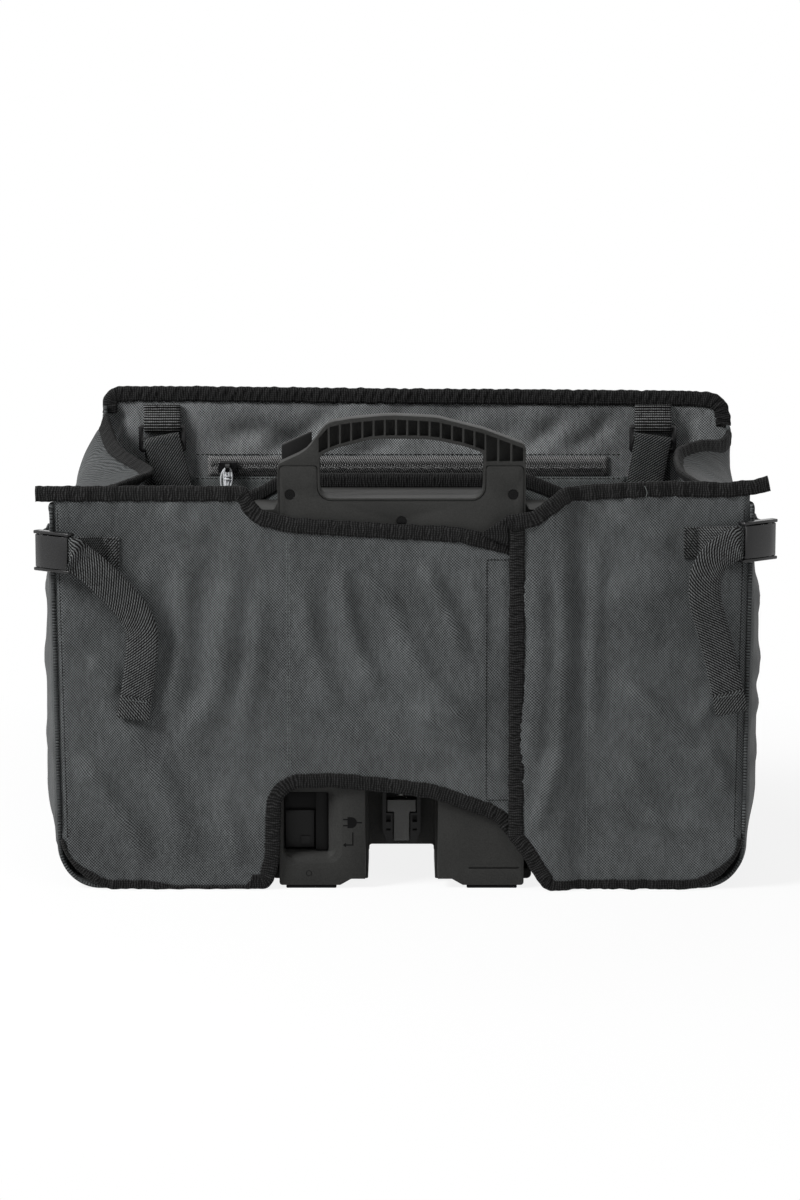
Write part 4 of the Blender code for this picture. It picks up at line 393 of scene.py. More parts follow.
def roundedLine(corners, steps=5, closed=True):
    # points of an outline given as x, z and corner radius
    points = []
    count = len(corners)
    for i, (x, z, radius) in enumerate(corners):
        here = Vector((x, z))
        if radius <= 0 or (not closed and i in (0, count - 1)):
            points.append(here)
            continue
        before = Vector(corners[i - 1][:2]) - here
        after = Vector(corners[(i + 1) % count][:2]) - here
        turn = before.angle(after)
        if turn > math.pi - 0.01:
            points.append(here)
            continue
        reach = min(radius / math.tan(turn / 2), 0.49 * before.length, 0.49 * after.length)
        radius = reach * math.tan(turn / 2)
        middle = here + (before.normalized() + after.normalized()).normalized() * (radius / math.sin(turn / 2))
        start = here + before.normalized() * reach - middle
        end = here + after.normalized() * reach - middle
        sweep = start.angle_signed(end)
        parts = max(1, round(steps * abs(sweep) / (math.pi / 2) + 0.5))
        for step in range(parts + 1):
            points.append(middle + Matrix.Rotation(-sweep * step / parts, 2) @ start)
    return points


def edgeLine(corners, level, steps=14):
    inMetres = [(x * mm, level if z is None else z * mm, radius * mm) for x, z, radius in corners]
    return roundedLine(inMetres, steps, closed=False)


def heightOn(line, x):
    for a, b in zip(line, line[1:]):
        if a.x <= x <= b.x and b.x > a.x:
            return mixed(a.y, b.y, (x - a.x) / (b.x - a.x))
    return line[0].y if x < line[0].x else line[-1].y


def clipped(line, low, high):
    inside = [p for p in line if low + 0.05 * mm < p.x < high - 0.05 * mm]
    return [Vector((low, heightOn(line, low)))] + inside + [Vector((high, heightOn(line, high)))]


def evenly(line, step):
    # the same path with points a step apart
    runs = [0.0]
    for a, b in zip(line, line[1:]):
        runs.append(runs[-1] + (b - a).length)
    count = max(1, round(runs[-1] / step))
    points, k = [], 0
    for i in range(count + 1):
        run = runs[-1] * i / count
        while k < len(runs) - 2 and runs[k + 1] < run:
            k += 1
        span = runs[k + 1] - runs[k]
        points.append(line[k].lerp(line[k + 1], (run - runs[k]) / span if span else 0.0))
    return points


def places(low, high, step):
    count = max(1, round((high - low) / step))
    return [mixed(low, high, i / count) for i in range(count + 1)]


# folds and puckers

def creaseHeight(x, z, creases):
    # how far soft creases stand out at a place; each is a path in millimetres, its height and half width
    total = 0.0
    x, z = x / mm, z / mm
    for path, height, width in creases:
        reach = 2.6 * width
        if not (min(p[0] for p in path) - reach < x < max(p[0] for p in path) + reach):
            continue
        lengths = [math.dist(a, b) for a, b in zip(path, path[1:])]
        whole, run, best = sum(lengths), 0.0, None
        for (ax, az), (bx, bz), length in zip(path, path[1:], lengths):
            share = ((x - ax) * (bx - ax) + (z - az) * (bz - az)) / (length * length)
            held = min(1.0, max(0.0, share))
            away = math.hypot(x - ax - (bx - ax) * held, z - az - (bz - az) * held)
            if best is None or away < best[0]:
                best = (away, run + held * length)
            run += length
        away, along = best
        ends = smooth(min(along, whole - along) / (0.3 * whole) + 0.12)
        total += height * math.exp(-(away / width) ** 2) * ends
    return total * mm


rearFolds = {
    "creases": [
        (((-39, 215), (-36, 185), (-30, 158), (-11, 124)), 1.0, 6), (((12, 214), (26, 185), (42, 150)), 0.9, 5.5),
        (((-4, 172), (18, 135), (48, 100)), 0.9, 6.5), (((-28, 205), (-8, 188), (4, 160)), 0.6, 5),
        (((-62, 200), (-58, 160), (-40, 118)), 0.7, 6), (((8, 120), (28, 104), (52, 92)), 0.6, 5),
        (((-20, 112), (0, 96), (30, 84)), 0.5, 5), (((40, 210), (50, 180), (52, 150)), 0.5, 5),
        (((-137, 224), (-138, 180), (-141, 148), (-150, 104)), 0.9, 8),
        (((-104, 228), (-110, 180), (-118, 125), (-146, 84)), 0.8, 9),
        (((-162, 215), (-160, 180), (-164, 130)), 0.6, 7), (((-90, 200), (-92, 150), (-104, 92)), 0.5, 7),
        (((-208, 92), (-184, 56), (-171, 36), (-162, 12)), 1.1, 7),
        (((-190, 122), (-156, 80), (-134, 22)), 0.8, 8), (((-120, 70), (-108, 40), (-104, 14)), 0.6, 6),
        (((-200, 150), (-186, 140), (-180, 126)), 0.6, 6), (((-150, 250), (-140, 236), (-120, 228)), 0.6, 6),
        (((134, 144), (150, 126), (172, 107), (202, 70)), 1.2, 7.5), (((146, 112), (176, 76), (206, 44)), 0.7, 7),
        (((126, 62), (150, 48), (196, 38)), 0.6, 6), (((190, 98), (203, 80), (208, 62)), 0.8, 5),
        (((124, 235), (121, 160), (121, 84)), 0.6, 5), (((84, 232), (87, 150), (80, 60)), 0.6, 7),
        (((101, 236), (104, 160), (100, 92), (84, 44)), 0.7, 6), (((106, 96), (92, 60), (84, 36)), 0.6, 5),
        (((128, 246), (150, 232), (176, 224)), 0.7, 7), (((128, 196), (148, 184), (166, 160)), 0.6, 8),
        (((140, 90), (158, 60), (170, 22)), 0.5, 7), (((206, 150), (198, 122), (184, 104)), 0.5, 6),
    ],
    "rise": 5.2, "cloudy": 2.0 * mm, "pucker": 0.6 * mm,
}


def rearRelief(x, z):
    # how far the rear panels stand out behind their plane: the photographed creases and soft unevenness
    ridge = rearFolds["rise"] * creaseHeight(x, z, rearFolds["creases"])
    cloudy = noise.noise(Vector((x * 21, z * 17, 3.1))) + 0.45 * noise.noise(Vector((x * 55, z * 48, 9.7)))
    near = math.exp(-(topEdge - z) / (9 * mm)) + math.exp(-(z - bag["edge"]) / (8 * mm))
    pucker = rearFolds["pucker"] * near * math.sin(x / (2.3 * mm) + 2.6 * noise.noise(Vector((x * 60, z * 20, 1))))
    calm = 1.0
    if abs(x) > 168 * mm:        # the side straps are sewn on here
        calm = 1 - smooth((abs(x) - 168 * mm) / (10 * mm)) * smooth(1.6 - abs(z - 221 * mm) / (22 * mm))
    edge = smooth((rearHalf(z) - abs(x)) / (14 * mm))
    return max(-0.8 * mm, (ridge + rearFolds["cloudy"] * cloudy + pucker) * calm * (0.15 + 0.85 * edge))


# cloth, tape and webbing

def finished(name, bm, material, smoothFaces=True):
    mesh = bpy.data.meshes.new(name)
    bm.to_mesh(mesh)
    bm.free()
    if smoothFaces:
        mesh.shade_smooth()
    mesh.materials.append(material)
    obj = bpy.data.objects.new(name, mesh)
    bpy.context.scene.collection.objects.link(obj)
    return obj


def clothSheet(name, rows, flat, thickness, material, skip=None):
    # a sheet through rows of points; flat gives each point's place on the cut cloth, for the weave
    bm = bmesh.new()
    layer = bm.loops.layers.uv.new("flat")
    grid = [[bm.verts.new(point) for point in row] for row in rows]
    where = {}
    for i, row in enumerate(grid):
        for k, vert in enumerate(row):
            where[vert] = flat[i][k]
    for i in range(len(grid) - 1):
        for k in range(len(grid[i]) - 1):
            if skip and skip(i, k):
                continue
            face = bm.faces.new((grid[i][k], grid[i + 1][k], grid[i + 1][k + 1], grid[i][k + 1]))
            for loop in face.loops:
                loop[layer].uv = where[loop.vert]
    loose = [vert for vert in bm.verts if not vert.link_faces]
    bmesh.ops.delete(bm, geom=loose, context="VERTS")
    obj = finished(name, bm, material)
    wall = obj.modifiers.new("clothThickness", "SOLIDIFY")
    wall.thickness = thickness
    wall.offset = 0
    return obj


def outward(rows):
    # unit normals of a grid of points
    result = []
    for i, row in enumerate(rows):
        line = []
        for k, _ in enumerate(row):
            along = rows[min(i + 1, len(rows) - 1)][k] - rows[max(i - 1, 0)][k]
            up = row[min(k + 1, len(row) - 1)] - row[max(k - 1, 0)]
            line.append(along.cross(up).normalized())
        result.append(line)
    return result


tapes = {"width": 8.6 * mm, "thickness": 0.75 * mm, "lay": 1.72 * mm, "out": 0.72 * mm, "pucker": 0.68 * mm,
         "stitch": 0.95 * mm, "tip": 11 * mm}        # lay and out: how far it stands off the cloth and past its edge


def tapeOver(name, line, inward, face, seed=0.0, width=None, pucker=None):
    # binding tape folded over a cloth's edge, puckered between its stitches; width may be a function of the place
    pucker = tapes["pucker"] if pucker is None else pucker
    lay, out = tapes["lay"], tapes["out"]
    shape = [(1.0, 0.93), (0.85, 1.0), (0.62, 1.06), (0.4, 1.03), (0.2, 0.98), (0.04, 0.86)]
    runs = [0.0]
    for a, b in zip(line, line[1:]):
        runs.append(runs[-1] + (b - a).length)
    rows, flat = [], []
    for place, into, out_, run in zip(line, inward, face, runs):
        wide = width(place) if callable(width) else (width or tapes["width"])
        profile = [(share * wide, part * lay) for share, part in shape] + [(-out * 0.7, lay * 0.5), (-out, 0)]
        profile += [(a, -b) for a, b in reversed(profile[:-1])]
        row, uvs = [], []
        walked = 0.0
        soft = pucker * min(1.0, wide / (6 * mm))
        gather = 0.75 + 0.5 * noise.noise(Vector((run * 34, seed + 3, 0)))        # some stretches are gathered more
        for j, (w, n) in enumerate(profile):
            if j:
                walked += math.dist(profile[j - 1], (w, n))
            share = min(1.0, max(0.0, w / wide))
            side = 1 if n >= 0 else -1
            slant = run + side * 0.5 * w + 2.2 * mm * noise.noise(Vector((run * 60, seed, side)))
            wavy = math.sin(slant / tapes["stitch"]) * gather
            rough = noise.noise(Vector((run * 330, w * 240, seed + 5 * side)))
            lift = soft * (0.85 * wavy * math.sin(math.pi * min(1.0, share + 0.12)) + 0.8 * rough)
            if j == 7:
                lift *= 0.4
            edge = soft * (0.9 * noise.noise(Vector((run * 150, seed + 11, share))) + 0.25 * wavy)
            row.append(place + into * (w + edge) + out_ * (n + side * max(lift, -0.35 * mm)))
            uvs.append((run + 0.3 * mm * wavy, walked))
        rows.append(row)
        flat.append(uvs)
    return clothSheet(name, rows, flat, tapes["thickness"], bindingTape)


def tapeOnPlane(name, line, depth, seed=0.0, relief=rearRelief, width=None):
    # binding of an edge in x and z, with the cloth on the left of its direction
    line = evenly(line, 1.0 * mm)
    points, inward, face = [], [], []
    for i, point in enumerate(line):
        way = line[min(i + 2, len(line) - 1)] - line[max(i - 2, 0)]
        left = Vector((-way.y, way.x)).normalized()
        points.append(at(point.x, depth(point.x) - relief(point.x, point.y), point.y))
        inward.append(Vector((left.x, 0, left.y)))
        face.append(Vector((0, -1, 0)))
    return tapeOver(name, points, inward, face, seed, width)


def smoothPath(stations, step):
    # a smooth path through stations, each a place and the direction of the width
    result = []
    for i in range(len(stations) - 1):
        p = [stations[min(max(k, 0), len(stations) - 1)] for k in (i - 1, i, i + 1, i + 2)]
        length = (p[2][0] - p[1][0]).length
        count = max(1, round(length / step))
        for s in range(count + (i == len(stations) - 2)):
            t = s / count
            spot = 0.5 * (2 * p[1][0] + (p[2][0] - p[0][0]) * t
                          + (2 * p[0][0] - 5 * p[1][0] + 4 * p[2][0] - p[3][0]) * t * t
                          + (3 * p[1][0] - 3 * p[2][0] + p[3][0] - p[0][0]) * t ** 3)
            side = p[1][1].normalized().lerp(p[2][1].normalized(), smooth(t)).normalized()
            result.append((spot, side))
    return result


def webbingStrap(name, stations, width, thickness, material, step=1.6 * mm, wobble=0.0):
    # a strap with rounded edges swept along a smooth path
    path = smoothPath(stations, step)
    bm = bmesh.new()
    layer = bm.loops.layers.uv.new("flat")
    half, thin = width / 2, thickness / 2
    shape = [(-half, -thin * 0.45), (-half + 0.5 * mm, -thin)]
    shape += [(half * share, -thin) for share in (-0.5, 0, 0.5)]
    shape += [(half - 0.5 * mm, -thin), (half, -thin * 0.45)]
    shape += [(-a, -b) for a, b in shape]
    runs, rings, where = 0.0, [], {}
    for i, (spot, side) in enumerate(path):
        way = (path[min(i + 1, len(path) - 1)][0] - path[max(i - 1, 0)][0]).normalized()
        across = (side - way * side.dot(way)).normalized()
        thick = across.cross(way)
        if i:
            runs += (spot - path[i - 1][0]).length
        ring = []
        for a, b in shape:
            sway = wobble * noise.noise(Vector((runs * 90, a * 60, len(name))))
            vert = bm.verts.new(spot + across * a + thick * (b + sway))
            where[vert] = (runs, a)
            ring.append(vert)
        rings.append(ring)
    count = len(shape)
    for ring, after in zip(rings, rings[1:]):
        for j in range(count):
            bm.faces.new((ring[j], ring[(j + 1) % count], after[(j + 1) % count], after[j]))
    bm.faces.new(list(reversed(rings[0])))
    bm.faces.new(rings[-1])
    bmesh.ops.recalc_face_normals(bm, faces=bm.faces)
    for face in bm.faces:
        for loop in face.loops:
            loop[layer].uv = where[loop.vert]
    obj = finished(name, bm, material)
    obj.data.set_sharp_from_angle(angle=math.radians(55))
    return obj


def stitches(name, rows, material, length=2.7 * mm, pitch=4.0 * mm, radius=0.28 * mm):
    # sewing thread: each row is a list of places with the direction that the cloth faces
    bm = bmesh.new()
    for row in rows:
        points = [point for point, _ in row]
        runs = [0.0]
        for a, b in zip(points, points[1:]):
            runs.append(runs[-1] + (b - a).length)
        count = int(runs[-1] / pitch)
        k = 0
        for n in range(count):
            start = n * pitch + (runs[-1] - count * pitch) / 2
            rings = []
            for share, rise in ((0, -0.9), (0.2, 0.5), (0.5, 0.8), (0.8, 0.5), (1, -0.9)):
                run = start + length * share
                while k < len(runs) - 2 and runs[k + 1] < run:
                    k += 1
                while k > 0 and runs[k] > run:
                    k -= 1
                span = max(1e-9, runs[k + 1] - runs[k])
                spot = points[k].lerp(points[k + 1], (run - runs[k]) / span)
                way = (points[k + 1] - points[k]).normalized()
                face = row[k][1].normalized()
                side = way.cross(face)
                lift = face * radius * rise
                rings.append([bm.verts.new(spot + lift + (side * math.cos(a) + face * math.sin(a)) * radius)
                              for a in [2 * math.pi * q / 5 for q in range(5)]])
            for ring, after in zip(rings, rings[1:]):
                for q in range(5):
                    bm.faces.new((ring[q], ring[(q + 1) % 5], after[(q + 1) % 5], after[q]))
            bm.faces.new(list(reversed(rings[0])))
            bm.faces.new(rings[-1])
    bmesh.ops.recalc_face_normals(bm, faces=bm.faces)
    return finished(name, bm, material)


def tube(name, points, radius, material, sides=8, closed=False, taper=None):
    # a round cord or piping along points, with its weave's place in the flat map
    bm = bmesh.new()
    layer = bm.loops.layers.uv.new("flat")
    rings, where, run = [], {}, 0.0
    side = None
    for i, point in enumerate(points):
        after = points[(i + 1) % len(points)] if closed else points[min(i + 1, len(points) - 1)]
        before = points[i - 1] if (closed or i) else point
        way = (after - before).normalized()
        side = way.orthogonal().normalized() if side is None else (side - way * side.dot(way)).normalized()
        other = way.cross(side)
        if i:
            run += (point - points[i - 1]).length
        wide = radius * (taper(i / (len(points) - 1)) if taper else 1.0)
        ring = []
        for q in range(sides):
            angle = 2 * math.pi * q / sides
            vert = bm.verts.new(point + (side * math.cos(angle) + other * math.sin(angle)) * wide)
            where[vert] = (run, wide * angle)
            ring.append(vert)
        rings.append(ring)
    pairs = list(zip(rings, rings[1:])) + ([(rings[-1], rings[0])] if closed else [])
    for ring, after in pairs:
        for q in range(sides):
            bm.faces.new((ring[q], ring[(q + 1) % sides], after[(q + 1) % sides], after[q]))
    if not closed:
        bm.faces.new(list(reversed(rings[0])))
        bm.faces.new(rings[-1])
    bmesh.ops.recalc_face_normals(bm, faces=bm.faces)
    for face in bm.faces:
        for loop in face.loops:
            loop[layer].uv = where[loop.vert]
    return finished(name, bm, material)


def isCloth(piece, body, node):
    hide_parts(node)
    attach(piece, body)


def isTrim(piece, body, slot, *replaced):
    if replaced:
        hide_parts(*replaced)
    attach(piece, body)


# rear panels

rear = {
    "arch": ((-130, None, 0), (-83.5, None, 9), (-79, 22, 40), (-77.5, 67.2, 14), (-40, 67.4, 100), (18, 61, 80),
             (60, 46.5, 30), (76.5, 25.5, 25), (91.5, None, 10), (130, None, 0)),
    "topCut": ((-150, None, 0), (-98.5, None, 5), (-90, 244, 14), (-70, 238.8, 40), (0, 234.6, 100),
               (37, 232.8, 20), (58, 227.5, 40), (100, 218, 0)),
    "cornerReach": 31 * mm, "cornerPower": 1.6, "columnStep": 2.4 * mm, "rowCount": 92, "underlap": 95 * mm,
    "hinge": 115 * mm,
    "curl": 1.7 * mm,        # how far the cloth turns in at the corner seams
    "seamLeft": -72.5 * mm, "seamRight": 116.2 * mm,
}
archLine = edgeLine(rear["arch"], bag["edge"])
topLine = edgeLine(rear["topCut"], topEdge)


def besideColumn(x, z):
    # x of a place on a column that starts at x, spread out a little towards the top
    share = smooth((abs(x) - 130 * mm) / (80 * mm))
    return x * mixed(1.0, rearHalf(z) / bag["rearHalfBase"], share)


def cornerRise(over):
    # the lower corners are cut flatter than a quarter round
    share = min(1.0, max(0.0, over / rear["cornerReach"]))
    return rear["cornerReach"] * (1 - (1 - share ** rear["cornerPower"]) ** (1 / rear["cornerPower"]))


def lowerCorner(x):
    return bag["edge"] + cornerRise(abs(x) - bag["rearHalfBase"] + rear["cornerReach"])


def cornerPath(way):
    # the lower corner from the bottom edge up to the side
    start = bag["rearHalfBase"] - rear["cornerReach"]
    steps = [math.sin(math.pi / 2 * i / 16) ** 0.8 for i in range(17)]
    points = [(start + rear["cornerReach"] * s, bag["edge"] + cornerRise(rear["cornerReach"] * s)) for s in steps]
    points.append((bag["rearHalfBase"], bag["edge"] + rear["cornerReach"] + mm))
    return [Vector((way * x * rearHalf(z) / bag["rearHalfBase"], z)) for x, z in points]


def rearPoint(x, z, depth=0.0):
    spread = besideColumn(x, z)
    turned = rear["curl"] * smooth((abs(spread) - rearHalf(z) + 4.5 * mm) / (4.5 * mm))
    return at(spread, halfCloth + depth + turned - rearRelief(spread, z), z)


def columns(low, high, line):
    # column places a step apart, closer where the edge below or above is steep
    xs = places(low, high, rear["columnStep"])
    for a, b in zip(line, line[1:]):
        if abs(b.y - a.y) > 1.2 * abs(b.x - a.x) and low < a.x < high:
            xs += [a.x, (a.x + b.x) / 2]
    ends = [math.copysign(p.x, way) for way in (-1, 1) for p in cornerPath(1)[:-2]]
    xs = sorted(xs + [x for x in ends if low < x < high])
    return [x for i, x in enumerate(xs) if i == 0 or x - xs[i - 1] > 0.12 * mm]


def panelRows(xs, lowAt, highAt, depthAt):
    rows, flat = [], []
    for x in xs:
        low, high = lowAt(x), highAt(x)
        zs = [mixed(low, high, k / rear["rowCount"]) for k in range(rear["rowCount"] + 1)]
        rows.append([rearPoint(x, z, depthAt(x)) for z in zs])
        flat.append([(besideColumn(x, z), z) for z in zs])
    return rows, flat


steep = archLine + topLine
xs = columns(-bag["rearHalfBase"], rear["underlap"], steep)
rows, flat = panelRows(xs, lambda x: max(lowerCorner(x), heightOn(archLine, x)) if x > -120 * mm else lowerCorner(x),
                       lambda x: heightOn(topLine, x), lambda x: 0.0)
rearCloth = clothSheet("rearPanelCloth", rows, flat, bag["cloth"], fabric)
print("rear panel made")

# access flap, in one piece with the right panel

flap = {"edge": 69 * mm, "bend": 16 * mm,
        "rise": ((60, 240, 0), (82, 243, 8), (103, None, 14), (128, 260.4, 60), (165, 262, 60), (204, 261.2, 30),
                 (222, 262.8, 0)),
        "turnStart": 118 * mm, "turnEnd": 112 * mm, "topEnd": 66.4 * mm}
riseLine = edgeLine(flap["rise"], topEdge)
flapLie = halfCloth - 2 * 2.4 * mm - 0.3 * mm


def flapDepth(x):
    # the flap lies over the rear panel, the right panel in line with it
    return mixed(halfCloth, flapLie, smooth((rear["hinge"] - 0.4 * mm - x) / flap["bend"]))


def turnsWithFlap(piece, slot, *replaced):
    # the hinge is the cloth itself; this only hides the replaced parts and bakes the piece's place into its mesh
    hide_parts(*replaced)
    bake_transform(piece)


def flapLow(x):
    return heightOn(archLine, x) if x < 120 * mm else lowerCorner(x)


xs = columns(flap["edge"], bag["rearHalfBase"], steep)
rows, flat = panelRows(xs, flapLow, lambda x: heightOn(riseLine, x), lambda x: flapDepth(x) - halfCloth)
flapCloth = clothSheet("flapAndRightPanel", rows, flat, bag["cloth"], fabric)
print("flap made")

# bindings of the rear panels

def onPanel(_):
    return halfCloth


tip = Vector((-rearHalf(topEdge) - tapes["tip"], topEdge))
line = list(reversed(clipped(topLine, -140 * mm, rear["underlap"] - 0.3 * mm))) + [tip]
topTapeLeft = tapeOnPlane("topBindingLeft", line, onPanel, 4.1)
isTrim(topTapeLeft, "bag", "tape", "rear_top_binding_left")

line = [Vector((rearHalf(topEdge) + tapes["tip"], topEdge + 6.2 * mm))]        # the right end stands up a little
line += list(reversed(clipped(riseLine, flap["topEnd"], 219 * mm)))
topTapeRight = tapeOnPlane("topBindingRight", line,
                           lambda x: flapDepth(x) - 0.9 * mm * smooth((86 * mm - x) / (8 * mm)), 5.6)
turnsWithFlap(topTapeRight, "tape", "rear_top_binding_right")


def leftTapeWidth(place):
    # the lower tape is sewn on with its face under the cloth, and only a part of it shows
    x = place.x / mm
    hidden = smooth((x + 165) / 25) * smooth((-96 - x) / 5)
    low = mixed(5.2 * mm, 1.2 * mm, hidden) if x < -96 else tapes["width"]
    return low * mixed(0.2, 1.0, smooth((x + 216) / 18))


line = list(reversed(cornerPath(-1))) + clipped(archLine, -120 * mm, rear["underlap"] - 0.3 * mm)[1:]
archTape = tapeOnPlane("archBindingTape", line, onPanel, 7.3, width=leftTapeWidth)
isTrim(archTape, "bag", "tape", "arch_binding")


def rightTapeWidth(place):
    x = place.x / mm
    if x < 88:
        return tapes["width"]
    low = mixed(tapes["width"], 5.4 * mm, smooth((x - 88) / 14)) - 1.4 * mm * smooth((x - 196) / 10)
    return low * mixed(1.0, 0.35, smooth((x - 204) / 12))


top = heightOn(riseLine, flap["edge"]) - 0.8 * mm
lowLine = clipped(archLine, flap["edge"], 118 * mm)
corners = ((flap["edge"], top, 0), (flap["edge"], lowLine[0].y, 2.5 * mm), (lowLine[1].x, lowLine[1].y, 0))
line = roundedLine(corners, 6, closed=False)[:-1] + lowLine[1:] + cornerPath(1)
flapTape = tapeOnPlane("flapBindingTape", line, flapDepth, 2.2, width=rightTapeWidth)
turnsWithFlap(flapTape, "tape", "flap_binding", "bottom_binding_right")

# stitched seams of the rear panels

facing = Vector((0, -1, 0))


def seamOn(points, depthAt=lambda x: 0.0):
    # a sewn line on the rear panels through x, z points
    line = evenly([Vector(p) for p in points], 2 * mm)
    return [(rearPoint(p.x, p.y, depthAt(p.x)) + facing * (halfCloth + 0.02 * mm), facing) for p in line]


hook = {"left": 53.9 * mm, "right": 68.6 * mm, "low": 58.6 * mm, "high": 213 * mm}        # tape sewn behind the panel
seams = [seamOn([(rear["seamLeft"], 80 * mm), (rear["seamLeft"], 226 * mm)]),
         seamOn([(rear["seamLeft"] + 1.6 * mm, 80 * mm), (rear["seamLeft"] + 1.6 * mm, 226 * mm)]),
         seamOn([(hook["right"], hook["high"]), (hook["left"], hook["high"]), (hook["left"], hook["low"]),
                 (hook["right"], hook["low"])]),
         seamOn([(212 * mm, 34 * mm), (213 * mm, 246 * mm)]), seamOn([(-213 * mm, 34 * mm), (-214 * mm, 246 * mm)])]
leftStitches = stitches("rearStitches", seams[:2], paleThread, 1.5 * mm, 2.6 * mm, 0.2 * mm)
hookStitches = stitches("hookStitches", seams[2:], seamThread, 1.7 * mm, 2.2 * mm, 0.3 * mm)
seam = seamOn([(rear["seamRight"] + 1.9 * mm, 9 * mm), (rear["seamRight"] + 1.9 * mm, 250 * mm)])
rightStitches = stitches("rightStitches", [seam], paleThread, 1.3 * mm, 2.2 * mm, 0.24 * mm)
for piece in (leftStitches, hookStitches, rightStitches):
    isTrim(piece, "bag", "tape")

isCloth(rearCloth, "bag", "rear_panel")
turnsWithFlap(flapCloth, "fabric", "rear_panel_right", "battery_access_flap")
cornerRows = [[rearPoint(x, mixed(low, high, k / 6), flapLie - halfCloth) for k in range(7)] for x, low, high in
              [(mixed(50 * mm, 68 * mm, i / 9), mixed(229 * mm, 222 * mm, i / 9), mixed(230.5 * mm, 242 * mm, i / 9))
               for i in range(10)]]
flapCorner = clothSheet("flapCornerFacing", cornerRows, [[(p.x, p.z) for p in row] for row in cornerRows], 0.9 * mm,
                        bindingTape)
isTrim(flapCorner, "flap", "tape")
threadEnd = [at(153.4 * mm + 0.9 * mm * math.sin(i * 0.5), -1.9 * mm - 0.12 * mm * i, 253 * mm + 0.9 * mm * i)
             for i in range(9)]
isTrim(tube("threadEnd", threadEnd, 0.25 * mm, paleThread, 5), "bag", "tape")
print("rear bindings and seams made")


# sides

sideShape = {"columns": 84, "rows": 124, "lip": 0.06, "corner": 0.22, "crumple": 1.3 * mm, "turnShare": 0.62}


def gussetPlace(along, up, way):
    # the side from its lip under the floor, round the lower corner and up to its edge
    low = gussetFloor + gussetRadius
    lip, corner = sideShape["lip"], sideShape["corner"]
    if up <= corner:
        turn = mixed(0, math.pi / 2, max(0.0, (up - lip) / (corner - lip)))
        middle = gussetHalf(along, low, way) - gussetRadius
        x = middle - 4 * mm * (1 - up / lip) if up < lip else middle + gussetRadius * math.sin(turn)
        return at(way * x, mixed(bag["gussetStart"], bag["gussetEnd"], along), low - gussetRadius * math.cos(turn))
    rimHalf, rimHigh = gussetRim(along, way)
    share = (up - corner) / (1 - corner)
    if share < sideShape["turnShare"]:
        z = mixed(low, foldStarts[way], share / sideShape["turnShare"])
    else:
        z = mixed(foldStarts[way], rimHigh, (share - sideShape["turnShare"]) / (1 - sideShape["turnShare"]))
    start = mixed(bag["gussetStart"], bag["gussetRear"], smooth((z - low) / (bag["baseRadius"] * 0.6)))
    return at(way * gussetHalf(along, z, way), mixed(start, bag["gussetEnd"], along), z)


sideFolds = {        # paths in depth and height, in millimetres
    -1: [(((6, 208), (40, 190), (90, 196)), 1.8, 7), (((8, 150), (50, 142), (110, 150)), 1.6, 8),
         (((4, 96), (30, 88), (70, 96)), 1.4, 7), (((150, 60), (176, 110), (190, 180)), 1.4, 9),
         (((60, 30), (100, 60), (150, 66)), 1.2, 9), (((120, 190), (160, 220), (194, 262)), 1.5, 8)],
    1: [(((5, 190), (36, 182), (84, 190)), 2.0, 7), (((6, 150), (34, 138), (96, 140)), 2.2, 7),
        (((5, 112), (30, 118), (76, 108)), 1.8, 6), (((4, 84), (28, 78), (64, 88)), 1.5, 6),
        (((150, 66), (174, 120), (190, 190)), 1.4, 9), (((70, 34), (110, 60), (150, 62)), 1.2, 9),
        (((120, 196), (158, 224), (194, 262)), 1.5, 8)],
}


def sideRelief(point, way, along, up):
    depth = point.y - rearFace
    folds = creaseHeight(depth, point.z, sideFolds[way])
    cloudy = noise.noise(Vector((depth * 26, point.z * 22, 5.0 * way)))
    fine = noise.noise(Vector((depth * 70, point.z * 60, 8.0 * way)))
    ends = smooth(min(along, 1 - along) / 0.05) * smooth((1 - up) / 0.06) * smooth(up / 0.2)
    return (folds + sideShape["crumple"] * (0.7 * cloudy + 0.3 * fine)) * ends


